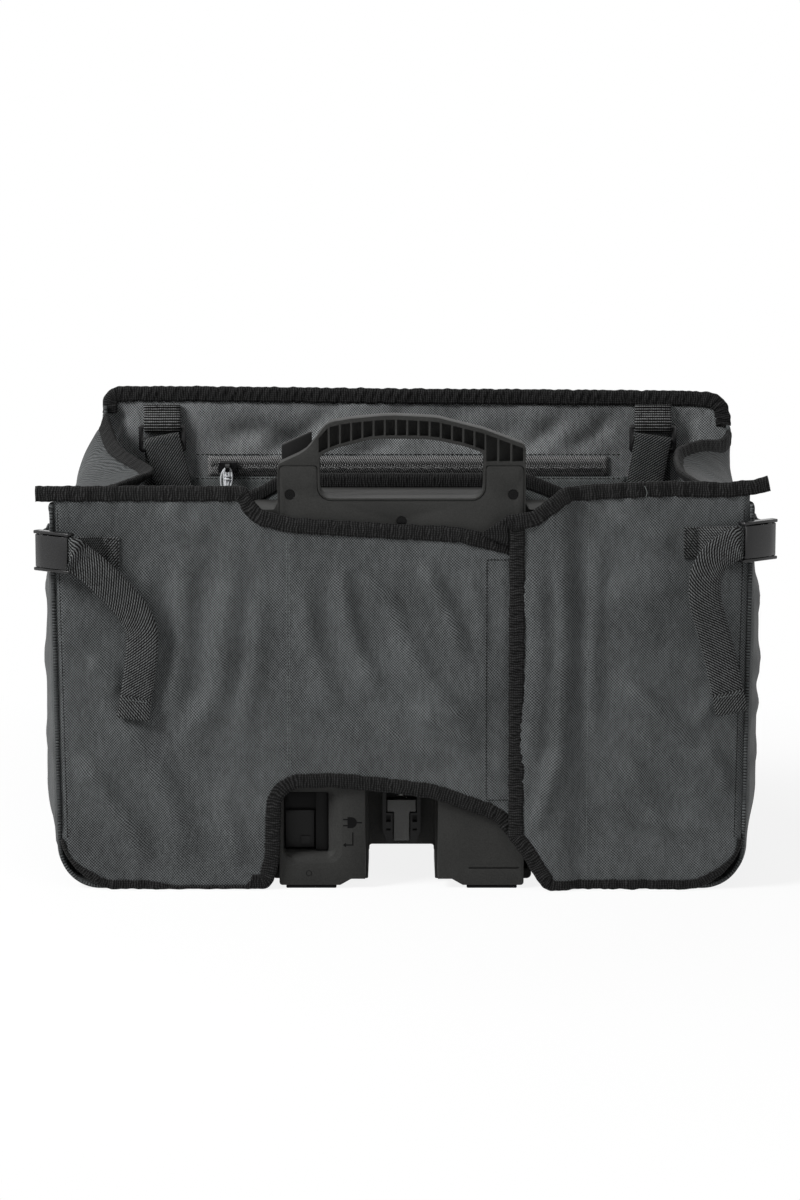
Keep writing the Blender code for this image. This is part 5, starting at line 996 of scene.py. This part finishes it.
sidePieces = {}
for sideName, way in (("Left", -1), ("Right", 1)):
    node = sideName.lower()
    grid = [[gussetPlace(i / sideShape["columns"], k / sideShape["rows"], way) for k in range(sideShape["rows"] + 1)]
            for i in range(sideShape["columns"] + 1)]
    normals = outward(grid)
    rows, flat = [], []
    for i, row in enumerate(grid):
        along = i / sideShape["columns"]
        run, line, uvs = 0.0, [], []
        for k, point in enumerate(row):
            up = k / sideShape["rows"]
            if k:
                run += (point - row[k - 1]).length
            out = normals[i][k]        # turned to the outside above the corner, and downwards on the lip
            if (out.x * way < 0 and up > sideShape["corner"]) or (out.z > 0 and up < 0.1):
                out = -out
            turned = 1.4 * mm * smooth(1 - along / 0.03) + 1.2 * mm * smooth(1 - (1 - along) / 0.03)
            turnedIn = Vector((way * turned, 0, 0)) * smooth(up / 0.3)
            line.append(point + out * sideRelief(point, way, along, up) - turnedIn)
            uvs.append((point.y, run))
        rows.append(line)
        flat.append(uvs)
    cloth = clothSheet("sideCloth" + sideName, rows, flat, bag["cloth"], sideFabric)
    sidePieces[sideName] = rows

    top = len(rows[0]) - 1
    line = [row[top] for row in rows[2:-2]]
    inner = [row[top - 4] for row in rows[2:-2]]
    dense, denseInner = [], []
    for a, b, c, d in zip(line, line[1:], inner, inner[1:]):
        dense += [a, a.lerp(b, 0.5)]
        denseInner += [c, c.lerp(d, 0.5)]
    inward = [(b - a).normalized() for a, b in zip(dense, denseInner)]
    face = []
    for i, into in enumerate(inward):
        along = dense[min(i + 1, len(dense) - 1)] - dense[max(i - 1, 0)]
        normal = along.cross(into).normalized()
        face.append(normal if normal.x * way > 0 else -normal)
    edging = tapeOver("sideBinding" + sideName, dense, inward, face, 12.0 + way, pucker=0.45 * mm)
    isTrim(edging, "bag", "tape", "gusset_binding_" + node)
    isCloth(cloth, "bag", "side_gusset_" + node)

    seam = [at(way * (rearHalf(z) - 1.6 * mm), 4.2 * mm, z) for z in places(45.6 * mm, 180 * mm, 6 * mm)]
    isTrim(tube("cornerSeam" + sideName, seam, 1.5 * mm, bindingTape), "bag", "tape", "rear_seam_" + node)
print("sides made")


# front wall, floor and divider

front = {"columns": 150, "rows": 104, "corner": 0.3,
         "creases": [(((-130, 270), (-96, 276), (-60, 262)), 1.2, 8), (((-100, 255), (-70, 272), (-46, 290)), 1.0, 7),
                     (((-40, 250), (-10, 268), (6, 292)), 1.0, 8), (((20, 286), (50, 270), (90, 276)), 1.1, 8),
                     (((60, 250), (84, 262), (120, 290)), 1.0, 7), (((110, 262), (134, 272), (146, 290)), 0.9, 6),
                     (((186, 262), (200, 274), (206, 290)), 1.2, 7), (((-204, 268), (-194, 280), (-190, 292)), 1.2, 6),
                     (((-180, 60), (-120, 90), (-90, 160)), 1.4, 12), (((-60, 40), (0, 80), (40, 160)), 1.2, 12),
                     (((60, 60), (120, 100), (170, 190)), 1.4, 12), (((-170, 170), (-100, 190), (-20, 180)), 1.0, 10),
                     (((30, 210), (90, 190), (180, 200)), 1.0, 10)]}


frontCorners = [(x * mm, z * mm) for x, z in (        # the top edge of the cloth, rounded at both ends
    (-205.6, 289), (-205.4, 297), (-202.8, 302.3), (-198.8, 305.2), (-194, 306.3), (-139, 306.3), (-1, 304.7),
    (130, 303.9), (199, 303.1), (212, 302.2), (218.2, 300.6), (224.2, 295), (226.6, 286), (226.8, 280))]
frontEdgeLine = [Vector(p) for p in frontCorners]
frontReach = {-1: 1.6 * mm, 1: 4.0 * mm}        # how far the top corners stand out


def frontPlace(across, up):
    share = 2 * across - 1
    way = -1 if share < 0 else 1
    start = bag["frontEdge"] + bag["frontRadius"]
    if up <= front["corner"]:
        turn = mixed(0, math.pi / 2, up / front["corner"])
        z = start - bag["frontRadius"] * math.cos(turn)
        half = frontHalf(start, way) - bag["frontRadius"] * (1 - math.sin(turn))
    else:
        top = heightOn(frontEdgeLine, share * (frontHalf(bag["frontTop"], way) + frontReach[way]))
        z = mixed(start, top, (up - front["corner"]) / (1 - front["corner"]))
        half = frontHalf(z, way) + frontReach[way] * smooth((z - 235 * mm) / (45 * mm))
    return share * half, z


def frontRelief(x, z):
    # the front wall's soft folds, kept small where the pocket and the straps lie on it
    folds = creaseHeight(x, z, front["creases"])
    cloudy = noise.noise(Vector((x * 20, z * 18, 41))) + 0.4 * noise.noise(Vector((x * 60, z * 50, 43)))
    pocket = smooth((x + 152 * mm) / (8 * mm)) * smooth((162 * mm - x) / (8 * mm)) * smooth((262 * mm - z) / (6 * mm))
    pocket *= smooth((z - 108 * mm) / (8 * mm))
    straps = max(smooth(1.8 - abs(x + 165 * mm) / (17 * mm)), smooth(1.8 - abs(x - 173.5 * mm) / (17 * mm)))
    straps *= smooth((z - 130 * mm) / (12 * mm))
    edge = smooth((bag["frontHalfTop"] - 4 * mm - abs(x)) / (16 * mm))
    return (3.1 * folds + 2.0 * mm * cloudy) * (1 - 0.92 * max(pocket, straps)) * edge


rows, flat = [], []
shares = places(0, 0.03, 0.0025) + places(0.03, 0.97, 0.94 / front["columns"])[1:] + places(0.97, 1, 0.0025)[1:]
for across in shares:
    line, uvs = [], []
    for k in range(front["rows"] + 1):
        x, z = frontPlace(across, k / front["rows"])
        line.append(at(x, frontDepth(x, z) + frontRelief(x, z), z))
        uvs.append((x, z))
    rows.append(line)
    flat.append(uvs)
frontCloth = clothSheet("frontWallCloth", rows, flat, bag["cloth"], frontFabric)
edge = evenly(roundedLine([(p.x, p.y, 5 * mm if 0 < i < len(frontEdgeLine) - 1 else 0)
                           for i, p in enumerate(frontEdgeLine)], 6, closed=False), 1.0 * mm)
points = [at(p.x, frontDepth(p.x, p.y) + frontRelief(p.x, p.y), p.y) for p in edge]
inward = []
for i in range(len(edge)):
    way = edge[min(i + 2, len(edge) - 1)] - edge[max(i - 2, 0)]
    inward.append(Vector((way.y, 0, -way.x)).normalized())
frontTape = tapeOver("frontBindingTape", points, inward, [facing] * len(points), 21.0, width=9.4 * mm, pucker=0.8 * mm)
isTrim(frontTape, "bag", "tape", "front_top_binding")
isCloth(frontCloth, "bag", "front_wall")

seamDepth = bag["depth"] + halfCloth - 2 * mm
outline = []
for way in (-1, 1):
    top = (274 if way > 0 else 266) * mm
    high = bag["frontEdge"] + bag["frontRadius"]
    half = frontHalf(high, way)
    offset = bag["frontOffset"]
    straight = [(way * (frontHalf(z, way) + offset), z) for z in reversed(places(high, top, 12 * mm))]
    turn = [(way * (half - bag["frontRadius"] + (bag["frontRadius"] + offset) * math.cos(math.radians(a))),
             high - (bag["frontRadius"] + offset) * math.sin(math.radians(a))) for a in range(6, 91, 12)]
    outline += (straight + turn) if way < 0 else list(reversed(straight + turn))
frontSeam = tube("frontSeamPiping", [at(x, seamDepth, z) for x, z in outline], 2 * mm, bindingTape, 10)
isTrim(frontSeam, "bag", "tape", "front_seam")

floorShape = {"notch": 107.5 * mm, "notchDepth": 87.0 * mm}        # the battery's well, half width and depth


def floorPoint(x, depth, halfs):
    way = -1 if x < 0 else 1
    inside = halfs - abs(x)
    z = gussetFloor + (bag["floorLift"] - gussetFloor) * smooth((inside - 4 * mm) / (bag["floorSlope"] - 4 * mm))
    return at(x, depth, z)


rows, flat = [], []
depths = places(bag["gussetStart"], floorShape["notchDepth"], 4 * mm) + \
    places(floorShape["notchDepth"], bag["gussetEnd"], 4 * mm)[1:]
shares = places(-1, -0.53, 0.02) + places(-0.53, 0.53, 0.02)[1:] + places(0.53, 1, 0.02)[1:]
for depth in depths:
    along = (depth - bag["gussetStart"]) / (bag["gussetEnd"] - bag["gussetStart"])
    line, uvs = [], []
    for share in shares:
        way = -1 if share < 0 else 1
        half = gussetHalf(along, gussetFloor + gussetRadius, way) - gussetRadius - 4.3 * mm
        if abs(share) <= 0.53:
            x = share / 0.53 * floorShape["notch"]
        else:
            x = way * mixed(floorShape["notch"], half, (abs(share) - 0.53) / 0.47)
        line.append(floorPoint(x, depth, half))
        uvs.append((x, depth))
    rows.append(line)
    flat.append(uvs)


def inNotch(i, k):
    return depths[i + 1] <= floorShape["notchDepth"] + 1e-6 and abs(shares[k] + shares[k + 1]) / 2 < 0.53


baseCloth = clothSheet("floorCloth", rows, flat, bag["cloth"], fabric, inNotch)
isCloth(baseCloth, "bag", "base_panel")

divider = {"base": 13.5 * mm, "columns": 60, "rows": 50, "sag": 15 * mm}


def dividerEdge(share):
    # the top edge sags towards both sides of the bag
    return bag["dividerTop"] - 1.2 * mm - divider["sag"] * smooth((abs(share) - 0.46) / 0.13)


rows, flat = [], []
for i in range(divider["columns"] + 1):
    line, uvs = [], []
    for k in range(divider["rows"] + 1):
        share = 2 * i / divider["columns"] - 1
        z = mixed(divider["base"], dividerEdge(share), k / divider["rows"])
        way = -1 if share < 0 else 1
        along = (bag["dividerDepth"] - bag["gussetStart"]) / (bag["gussetEnd"] - bag["gussetStart"])
        low = gussetFloor + gussetRadius
        half = gussetHalf(along, max(z, low), way)
        if z < low:
            half = half - gussetRadius + math.sqrt(max(0.0, gussetRadius ** 2 - (low - z) ** 2))
        half -= bag["cloth"] + 2.4 * mm + 5 * mm * smooth((z - 215 * mm) / (15 * mm))
        x = share * half
        line.append(at(x, bag["dividerDepth"] + 0.5 * mm * noise.noise(Vector((x * 24, z * 20, 61))), z))
        uvs.append((x, z))
    rows.append(line)
    flat.append(uvs)
dividerCloth = clothSheet("dividerCloth", rows, flat, bag["cloth"], liningCloth)
line = evenly([row[-1] for row in rows[1:-1]], 1.3 * mm)
dividerTape = tapeOver("dividerBindingTape", line, [Vector((0, 0, -1))] * len(line), [Vector((0, -1, 0))] * len(line),
                       31.0, pucker=0.2 * mm)
isTrim(dividerTape, "bag", "tape", "divider_binding")
isCloth(dividerCloth, "bag", "divider_wall")
print("front wall, floor and divider made")


# pocket and zip

pocket = {"left": -146 * mm, "right": 156 * mm, "base": 118 * mm, "cloth": 1.6 * mm, "zip": 251.8 * mm,
          "zipLeft": -134 * mm, "zipRight": 143 * mm, "tape": 6.6 * mm, "coil": 1.9 * mm}
clothStand = halfCloth + 0.45 * mm + pocket["cloth"] / 2


def onFront(x, z, stand):
    return at(x, frontDepth(x, z) - stand, z)


lowerTop = pocket["zip"] - 0.3 * mm
pocketTop = lowerTop - pocket["tape"] - 0.3 * mm
rows, flat = [], []
for x in places(pocket["left"], pocket["right"], 4 * mm):
    line, uvs = [], []
    for z in places(pocket["base"], pocketTop, 4 * mm):
        soft = 1.2 * mm * smooth((z - pocket["base"]) / (20 * mm)) * smooth((pocketTop - z) / (12 * mm)) \
            * smooth((pocket["right"] - x) / (12 * mm)) * smooth((x - pocket["left"]) / (12 * mm)) \
            * (0.7 + 0.8 * noise.noise(Vector((x * 18, z * 22, 71))))
        line.append(onFront(x, z, clothStand + soft))
        uvs.append((x, z))
    rows.append(line)
    flat.append(uvs)
pocketCloth = clothSheet("pocketCloth", rows, flat, pocket["cloth"], liningCloth)
isCloth(pocketCloth, "bag", "pocket_panel")

rows, flat = [], []
stripHeights = [lowerTop - pocket["tape"], lowerTop - pocket["tape"] / 2, lowerTop, pocket["zip"] + 0.3 * mm,
                pocket["zip"] + 0.3 * mm + pocket["tape"] / 2, pocket["zip"] + 0.3 * mm + pocket["tape"]]
stripPlaces = places(pocket["zipLeft"], pocket["zipRight"], 3 * mm)
for x in stripPlaces:
    rows.append([onFront(x, z, clothStand) for z in stripHeights])
    flat.append([(x, z) for z in stripHeights])
zipTapes = clothSheet("zipTapes", rows, flat, 0.9 * mm, zipTape, lambda i, k: k == 2 and 0 < i < len(rows) - 2)
isTrim(zipTapes, "bag", "tape", "zip_tapes")

coilDepth = min(frontDepth(pocket["zipLeft"], pocket["zip"]), frontDepth(pocket["zipRight"], pocket["zip"])) \
    - clothStand - 0.8 * mm - pocket["coil"]
turns, pointsPerTurn, points = 150, 8, []
coilEnds = (pocket["zipLeft"] + 4 * mm, pocket["zipRight"] - 4 * mm)
for i in range(turns * pointsPerTurn + 1):
    angle = 2 * math.pi * i / pointsPerTurn
    points.append(at(mixed(coilEnds[0], coilEnds[1], i / (turns * pointsPerTurn)),
                     coilDepth + 0.9 * mm * math.sin(angle), pocket["zip"] + 1.35 * mm * math.cos(angle)))
zipCoil = tube("zipCoil", points, 0.45 * mm, zipTape, 5)
isTrim(zipCoil, "bag", "tape", "zip_coil")
zipRows = []
for z in (pocket["zip"] + pocket["tape"] + 1.6 * mm, pocket["zip"] - pocket["tape"] - 1.8 * mm):
    zipRows.append([(onFront(x, z, clothStand + 0.85 * mm if z < pocket["zip"] else halfCloth + 0.1 * mm), facing)
                    for x in places(pocket["left"] + 3 * mm, pocket["right"] - 3 * mm, 3 * mm)])
zipStitches = stitches("zipStitches", zipRows, seamThread, 2.2 * mm, 3.2 * mm, 0.3 * mm)
isTrim(zipStitches, "bag", "tape")

pullHigh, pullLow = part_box("zip_pull_cord")[1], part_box("zip_pull_cord")[0]
pullMiddle = (pullHigh + pullLow) / 2
strands = []
for n, (spread, drop, swing) in enumerate(((4.6, 0.0, -2.2), (2.4, 1.0, -1.0), (3.6, 2.2, 0.6), (1.2, 0.4, -0.4))):
    loop = []
    for i in range(40):
        angle = 2 * math.pi * i / 40
        wide = spread * mm * math.sin(angle) * (0.55 + 0.45 * math.cos(angle * 0.5) ** 2)
        z = mixed(pullHigh.z - 1.2 * mm, pullLow.z + 1.1 * mm + drop * mm, (1 - math.cos(angle)) / 2)
        loop.append(Vector((pullMiddle.x + wide + swing * mm * (1 - math.cos(angle)) / 2,
                            pullMiddle.y - 0.7 * mm * (n - 1) * (1 - math.cos(angle)) / 2, z)))
    strands.append(tube(f"pullCord{n}", loop, 0.62 * mm, pullCord, 8, closed=True))
knot = [Vector((pullMiddle.x + 2.0 * mm * math.cos(a), pullMiddle.y + 1.6 * mm * math.sin(a),
                pullHigh.z - 5.2 * mm - 0.34 * mm * a)) for a in [2 * math.pi * i / 10 for i in range(26)]]
strands.append(tube("pullCordKnot", knot, 0.8 * mm, pullCord, 8))
for n, strand in enumerate(strands):
    isTrim(strand, "pull", "pull_cord", *(["zip_pull_cord"] if n == 0 else []))
print("pocket and zip made")


# inner straps

innerStraps = {"width": 25 * mm, "thickness": 1.4 * mm, "lock": 279.7 * mm, "stand": 4.6 * mm, "bar": 2.6 * mm,
               "x": {"left": -165 * mm, "right": 173.5 * mm},
               "tilt": {"left": 13.5, "right": -10.5}}        # degrees that the lower end swings to the right
for sideName in ("left", "right"):
    middle = innerStraps["x"][sideName]
    tilt = math.radians(innerStraps["tilt"][sideName])
    stand = innerStraps["stand"]
    near, far, bar = stand - 3 * mm, stand + 3 * mm, innerStraps["lock"]

    def fromWall(back, z, shift=0.0):
        return at(middle + shift, frontDepth(middle, z) - halfCloth - back, z)

    top = bag["frontTop"] - 10.8 * mm
    path = [(near, top), (near, bar + 4 * mm), (near, bar), (near + 1.0 * mm, bar - 2.6 * mm), (stand, bar - 3.6 * mm),
            (far - 1.0 * mm, bar - 2.6 * mm), (far, bar), (far - 0.6 * mm, bar + 5 * mm),
            (near + 2.3 * mm, bar + 10 * mm), (near + 2.1 * mm, top)]
    across = Vector((1, 0, 0))
    anchor = webbingStrap("topAnchor" + sideName.title(), [(fromWall(*step), across) for step in path],
                          innerStraps["width"], innerStraps["thickness"], webbing, 1.2 * mm)
    isTrim(anchor, "bag", "webbing", "top_anchor_" + sideName)

    mid = bar - innerStraps["bar"] / 2 - 7.9 * mm
    path = [(near, 84, 0), (near, 40, 0), (near, 4, 0.1), (stand - 2.9 * mm, -0.9, 0.4), (stand - 2.1 * mm, -2.4, 0.6),
            (stand - 0.9 * mm, -2.9, 0.8), (stand + 0.9 * mm, -2.9, 0.9), (stand + 2.1 * mm, -2.4, 1),
            (stand + 2.9 * mm, -0.9, 1), (far, 5, 1), (far, 14, 1), (far, 30, 1), (stand + 2.4 * mm, 60, 1),
            (stand + 1.2 * mm, 95, 1), (stand + 0.6 * mm, 125, 1)]        # off the wall, way down, share of the tilt
    stations = []
    for back, down, share in path:
        turn = tilt * share
        spot = fromWall(back, mid - down * mm * math.cos(turn), down * mm * math.sin(turn))
        stations.append((spot, Vector((math.cos(turn), 0, math.sin(turn)))))
    strap = webbingStrap("innerStrap" + sideName.title(), stations, innerStraps["width"], innerStraps["thickness"],
                         twillWebbing, 1.4 * mm)
    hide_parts("inner_strap_" + sideName)
    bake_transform(strap)
print("inner straps made")


# rear side straps

sideStraps = {
    "width": 20 * mm, "thickness": 1.4 * mm, "patchEnd": 178 * mm,
    "place": {"left": (217.3, -7.9, 219.5, 40), "right": (223.0, -3.2, 226, 42)},        # x, depth and z in mm, turn
    "tail": {
        "left": ((-200, -19.6, 215), (-192, -18.8, 208.5), (-184, -17, 200.5), (-176, -14.8, 191.5),
                 (-168.6, -12.4, 181.5), (-164, -10, 171), (-163.4, -8.4, 161), (-164.6, -6.8, 148),
                 (-167.4, -5.2, 131), (-170, -4.0, 113)),
        "right": ((205, -16.4, 223), (197.5, -17, 217.5), (192, -17, 209), (190, -15.8, 198), (191.6, -13.8, 185),
                  (196, -11.4, 170), (201, -8.8, 152), (205.6, -6.4, 133), (209, -5, 117))},
}
for sideName, way in (("left", -1), ("right", 1)):
    x, depth, height, degrees = sideStraps["place"][sideName]
    turn = math.radians(degrees)
    height = height * mm
    centre = at(way * x * mm, depth * mm, height)
    along = Vector((way * math.cos(turn), math.sin(turn), 0))
    outer = Vector((way * math.sin(turn), -math.cos(turn), 0))
    upright = Vector((0, 0, 1))

    def onBuckle(a, c):
        return centre + along * (a * mm) + outer * (c * mm)

    sewn = -sideStraps["thickness"] / 2 - 0.15 * mm
    end = sideStraps["patchEnd"]
    stations = [(at(way * (end + shift * mm), sewn, height - 2 * mm), upright) for shift in (0, 4.5, 9)]
    stations += [(at(way * (end + 13 * mm), sewn - 1.6 * mm, height - 1.6 * mm), upright)]
    stations += [(onBuckle(a, c), upright) for a, c in (
        (-17.6, -1.9), (-11.6, -1.65), (1.5, -1.65), (3.4, -1.5), (4.3, -0.6), (4.3, 1.2), (3.4, 2.1), (1.5, 2.25),
        (-14.1, 2.25), (-18.6, 2.5))]
    tail = [at(px * mm, pd * mm - max(0.0, rearRelief(px * mm, pz * mm)), pz * mm)
            for px, pd, pz in sideStraps["tail"][sideName]]        # it lies on the cloth's folds
    for i, point in enumerate(tail):
        run = tail[min(i + 1, len(tail) - 1)] - (tail[i - 1] if i else point)
        stations.append((point, Vector((way * run.z, 0, -way * run.x))))
    strap = webbingStrap("sideStrap" + sideName.title(), stations, sideStraps["width"], sideStraps["thickness"],
                         twillWebbing, 1.5 * mm)
    isTrim(strap, "bag", "webbing", "side_strap_" + sideName)

    last, before = tail[-1], tail[-2]
    onto = (before - last).normalized()
    width = Vector((-way * onto.z, 0, way * onto.x))
    stations = [(last + onto * (d * mm) + facing * (rise * mm), width) for d, rise in
                ((-0.4, 0.2), (-0.9, 0.9), (0.2, 1.5), (4, 1.55), (9, 1.5), (13, 1.4))]        # turned up and sewn
    hem = webbingStrap("strapHem" + sideName.title(), stations, sideStraps["width"] + 0.4 * mm, 1.2 * mm,
                       twillWebbing, 1.2 * mm)
    hemSeam = [(last + onto * (11 * mm) + facing * (2.1 * mm) + width.normalized() * (s * mm), facing)
               for s in (-8.6, 0, 8.6)]
    hemSewn = stitches("hemStitches" + sideName.title(), [hemSeam], paleThread, 1.3 * mm, 2.0 * mm, 0.2 * mm)
    for piece in (hem, hemSewn):
        isTrim(piece, "bag", "webbing")

    share = sideStraps["width"] / 2 - 1.2 * mm
    sew = []
    box = [(end + 1.2 * mm, -share), (end + 8 * mm, -share), (end + 8 * mm, share), (end + 1.2 * mm, share),
           (end + 1.2 * mm, -share), (end + 8 * mm, share)]
    for a, b in zip(box, box[1:]):
        spots = [(mixed(a[0], b[0], t), mixed(a[1], b[1], t)) for t in (0, 0.5, 1)]
        sew.append([(at(way * x, sewn - sideStraps["thickness"] / 2, height - 2 * mm + z), facing) for x, z in spots])
    boxSewn = stitches("strapStitches" + sideName.title(), sew, seamThread, 1.4 * mm, 1.9 * mm, 0.22 * mm)
    isTrim(boxSewn, "bag", "webbing")

    def onSide(depth, extra):
        def spot(d, z):
            reach = (d - bag["gussetRear"]) / (bag["gussetEnd"] - bag["gussetRear"])
            return at(way * gussetHalf(reach, z, way), d, z)
        here = spot(depth, height)
        upward = (spot(depth, height + mm) - spot(depth, height - mm)).normalized()
        forward = (spot(depth + mm, height) - spot(depth - mm, height)).normalized()
        out = forward.cross(upward) * way
        return here + out * (halfCloth + 1.3 * mm + extra * mm), upward

    stations = [(onBuckle(a, c), upright) for a, c in ((9.8, 1.45), (8.4, 1.45), (7.2, 0.6), (7.2, -1.0), (8.4, -2.05),
                                                       (12, -2.1), (18.6, -2.6))]
    stations += [onSide(d * mm, e) for d, e in ((24, 2.8), (32, 1.8), (39, 1.9), (46, 2.1), (53, 2.4))]
    strap = webbingStrap("sideStrapFront" + sideName.title(), stations, sideStraps["width"], sideStraps["thickness"],
                         twillWebbing, 1.5 * mm)
    isTrim(strap, "bag", "webbing", "side_strap_front_" + sideName)
print("side straps made")


# finishes of the moulded and metal parts

finishes = (        # material and the pieces that keep their CAD shape
    (fittingPlastic, ("base_board", "port_socket", "cell_frame_rear", "cell_frame_front", "carrier_latch")),
    (bucklePlastic, ("zip_slider",)),
    (footRubber, ("foot_pad_left", "foot_pad_right")),
    (cellWrap, ("power_cells",)),
    (boardLacquer, ("control_board",)),
    (screwSteel, ("cover_screw_left", "cover_screw_right", "cover_screw_middle")),
)
for material, names in finishes:
    for name in names:
        nodes[name].data.materials.clear()
        nodes[name].data.materials.append(material)

softened = (        # node, body, slot, material, edge radius in mm
    ("battery_rear_housing", "battery", "housing_plastic", housingPlastic, 0.45),
    ("battery_front_housing", "battery", "housing_plastic", housingPlastic, 0.6),
    ("battery_rear_cover", "battery", "housing_plastic", housingPlastic, 0.35),
    # the well's near-black material holds painted shade of the recess
    ("charging_well", "battery", "dark_plastic", wellPlastic, 0.3),
    ("display_cover", "battery", "dark_plastic", fittingPlastic, 0.4),
    ("contact_shutter", "shutter", "shutter_plastic", shutterPlastic, 0.3),
    ("port_cover", "port_lid", "dark_plastic", fittingPlastic, 0.35),
    ("ladder_lock_left", "lock_left", "buckle_plastic", bucklePlastic, 0.45),
    ("ladder_lock_right", "lock_right", "buckle_plastic", bucklePlastic, 0.45),
    ("side_buckle_left", "bag", "buckle_plastic", bucklePlastic, 0.5),
    ("side_buckle_right", "bag", "buckle_plastic", bucklePlastic, 0.5),
    ("buckle_lever_left", "lever_left", "buckle_plastic", bucklePlastic, 0.5),
    ("buckle_lever_right", "lever_right", "buckle_plastic", bucklePlastic, 0.5),
)


def withSoftEdges(name, body, slot, material, radius):
    # a copy of a moulded part whose sharp edges are rounded as a mould rounds them
    bm = bmesh.new()
    bm.from_mesh(nodes[name].data)
    bmesh.ops.remove_doubles(bm, verts=bm.verts, dist=0.004 * mm)
    bmesh.ops.dissolve_limit(bm, angle_limit=math.radians(1.5), verts=bm.verts, edges=bm.edges)
    turns = {edge: edge.calc_face_angle(0) if len(edge.link_faces) == 2 else 0 for edge in bm.edges}
    sharp = [edge for edge, angle in turns.items() if angle > math.radians(32)]
    for face in bm.faces:        # flat walls stay flat, and only curved ones are shaded smooth
        face.smooth = any(math.radians(1.6) < turns[edge] <= math.radians(32) for edge in face.edges)
    rounded = bmesh.ops.bevel(bm, geom=sharp, offset=radius * mm, segments=2, profile=0.5, affect="EDGES",
                              clamp_overlap=True, material=-1)
    for face in rounded["faces"]:
        face.smooth = True
    bmesh.ops.triangulate(bm, faces=[face for face in bm.faces if len(face.verts) > 4])
    copy = finished(name + "_moulded", bm, material, False)
    copy.data.set_sharp_from_angle(angle=math.radians(34))
    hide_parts(name)
    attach(copy, body)
    return copy


for entry in softened:
    withSoftEdges(*entry)
print("moulded parts finished")

# shutter spring

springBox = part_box("shutter_spring")
springWire, springTurns, pointsPerTurn = 0.45 * mm, 6, 16
springMiddle = (springBox[0] + springBox[1]) / 2
springRadius = (springBox[1].x - springBox[0].x) / 2 - springWire
points = []
for i in range(springTurns * pointsPerTurn + 1):
    angle = 2 * math.pi * i / pointsPerTurn
    height = mixed(springBox[0].z + springWire, springBox[1].z - springWire, i / (springTurns * pointsPerTurn))
    points.append(Vector((springMiddle.x + springRadius * math.cos(angle),
                          springMiddle.y + springRadius * math.sin(angle), height)))
spring = tube("coiledSpring", points, springWire, springSteel, 6)
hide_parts("shutter_spring")
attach(spring, "battery")
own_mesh(spring)

# printed sign: a plug with an arrow that shows where it goes

housing = nodes["battery_rear_housing"].data
housingFaces = BVHTree.FromPolygons([v.co for v in housing.vertices], [p.vertices for p in housing.polygons])
marks = {        # millimetres: the printed sign, and the round mark that an ejector pin left
    "plug": (-32.2, 43), "plugRadius": 3.6, "inkRise": 0.07, "inkDepth": 0.05,
    "pin": (-59.4, 9.9), "pinRadius": 1.7, "pinRise": 0.02, "pinWire": 0.22,
    "screwRingWidth": 0.5, "screwRingRise": 0.05, "screwRingWire": 0.24,
    "bars": (        # left, low, right and high of the plug's pins, its cord and the arrow's two legs
        (-37.4, 44.6, -34.6, 45.4), (-37.4, 40.6, -34.6, 41.4), (-28.6, 42.6, -25.2, 43.4),
        (-31.6, 28.0, -30.8, 36.6), (-35.6, 28.0, -31.6, 28.8)),
    "arrowHead": ((-37.6, 28.4), (-35.6, 26.9), (-35.6, 29.9)),
}


def onHousing(x, z, rise):
    # the place on the housing's rear face, stood off by the rise; all in millimetres
    hit = housingFaces.ray_cast(Vector((x * mm, -0.4, z * mm)), Vector((0, 1, 0)))[0]
    return Vector((x * mm, hit.y - rise * mm, z * mm))


def roundPlaces(centre, radius, degrees):
    return [(centre[0] + radius * math.cos(math.radians(a)), centre[1] + radius * math.sin(math.radians(a)))
            for a in degrees]


plugSide = marks["plug"][0] - 2.4
plugBody = [(plugSide, marks["plug"][1] - marks["plugRadius"])]
plugBody += roundPlaces(marks["plug"], marks["plugRadius"], range(-90, 91, 15))
plugBody += [(plugSide, marks["plug"][1] + marks["plugRadius"])]
signShapes = [plugBody] + [[(left, low), (right, low), (right, high), (left, high)]
                           for left, low, right, high in marks["bars"]] + [marks["arrowHead"]]
bm = bmesh.new()
for shape in signShapes:
    bm.faces.new([bm.verts.new(onHousing(x, z, marks["inkRise"])) for x, z in shape])
inkLayer = bmesh.ops.extrude_face_region(bm, geom=list(bm.faces))
bmesh.ops.translate(bm, vec=(0, marks["inkDepth"] * mm, 0),
                    verts=[v for v in inkLayer["geom"] if isinstance(v, bmesh.types.BMVert)])
bmesh.ops.recalc_face_normals(bm, faces=bm.faces)
isTrim(finished("chargingSign", bm, signInk, False), "battery", "dark_plastic")
ring = [onHousing(x, z, marks["pinRise"]) for x, z in roundPlaces(marks["pin"], marks["pinRadius"], range(0, 360, 20))]
isTrim(tube("mouldMark", ring, marks["pinWire"] * mm, wellPlastic, 5, closed=True), "battery", "dark_plastic")
for place in ("left", "right", "middle"):        # the cover is countersunk round each screw; a thin ring of bright steel round each stands for the head's worn rim, drawn bright as a painted highlight of the countersink's edge
    low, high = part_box("cover_screw_" + place)
    middle = (low + high) / 2
    wide = (high.x - low.x) / 2 + marks["screwRingWidth"] * mm
    ring = [Vector((middle.x + wide * math.cos(a), low.y - marks["screwRingRise"] * mm, middle.z + wide * math.sin(a)))
            for a in [2 * math.pi * i / 20 for i in range(20)]]
    screwRing = tube("screwRing" + place.title(), ring, marks["screwRingWire"] * mm, springSteel, 5, closed=True)
    isTrim(screwRing, "battery", "spring_steel")
print("spring and sign made")
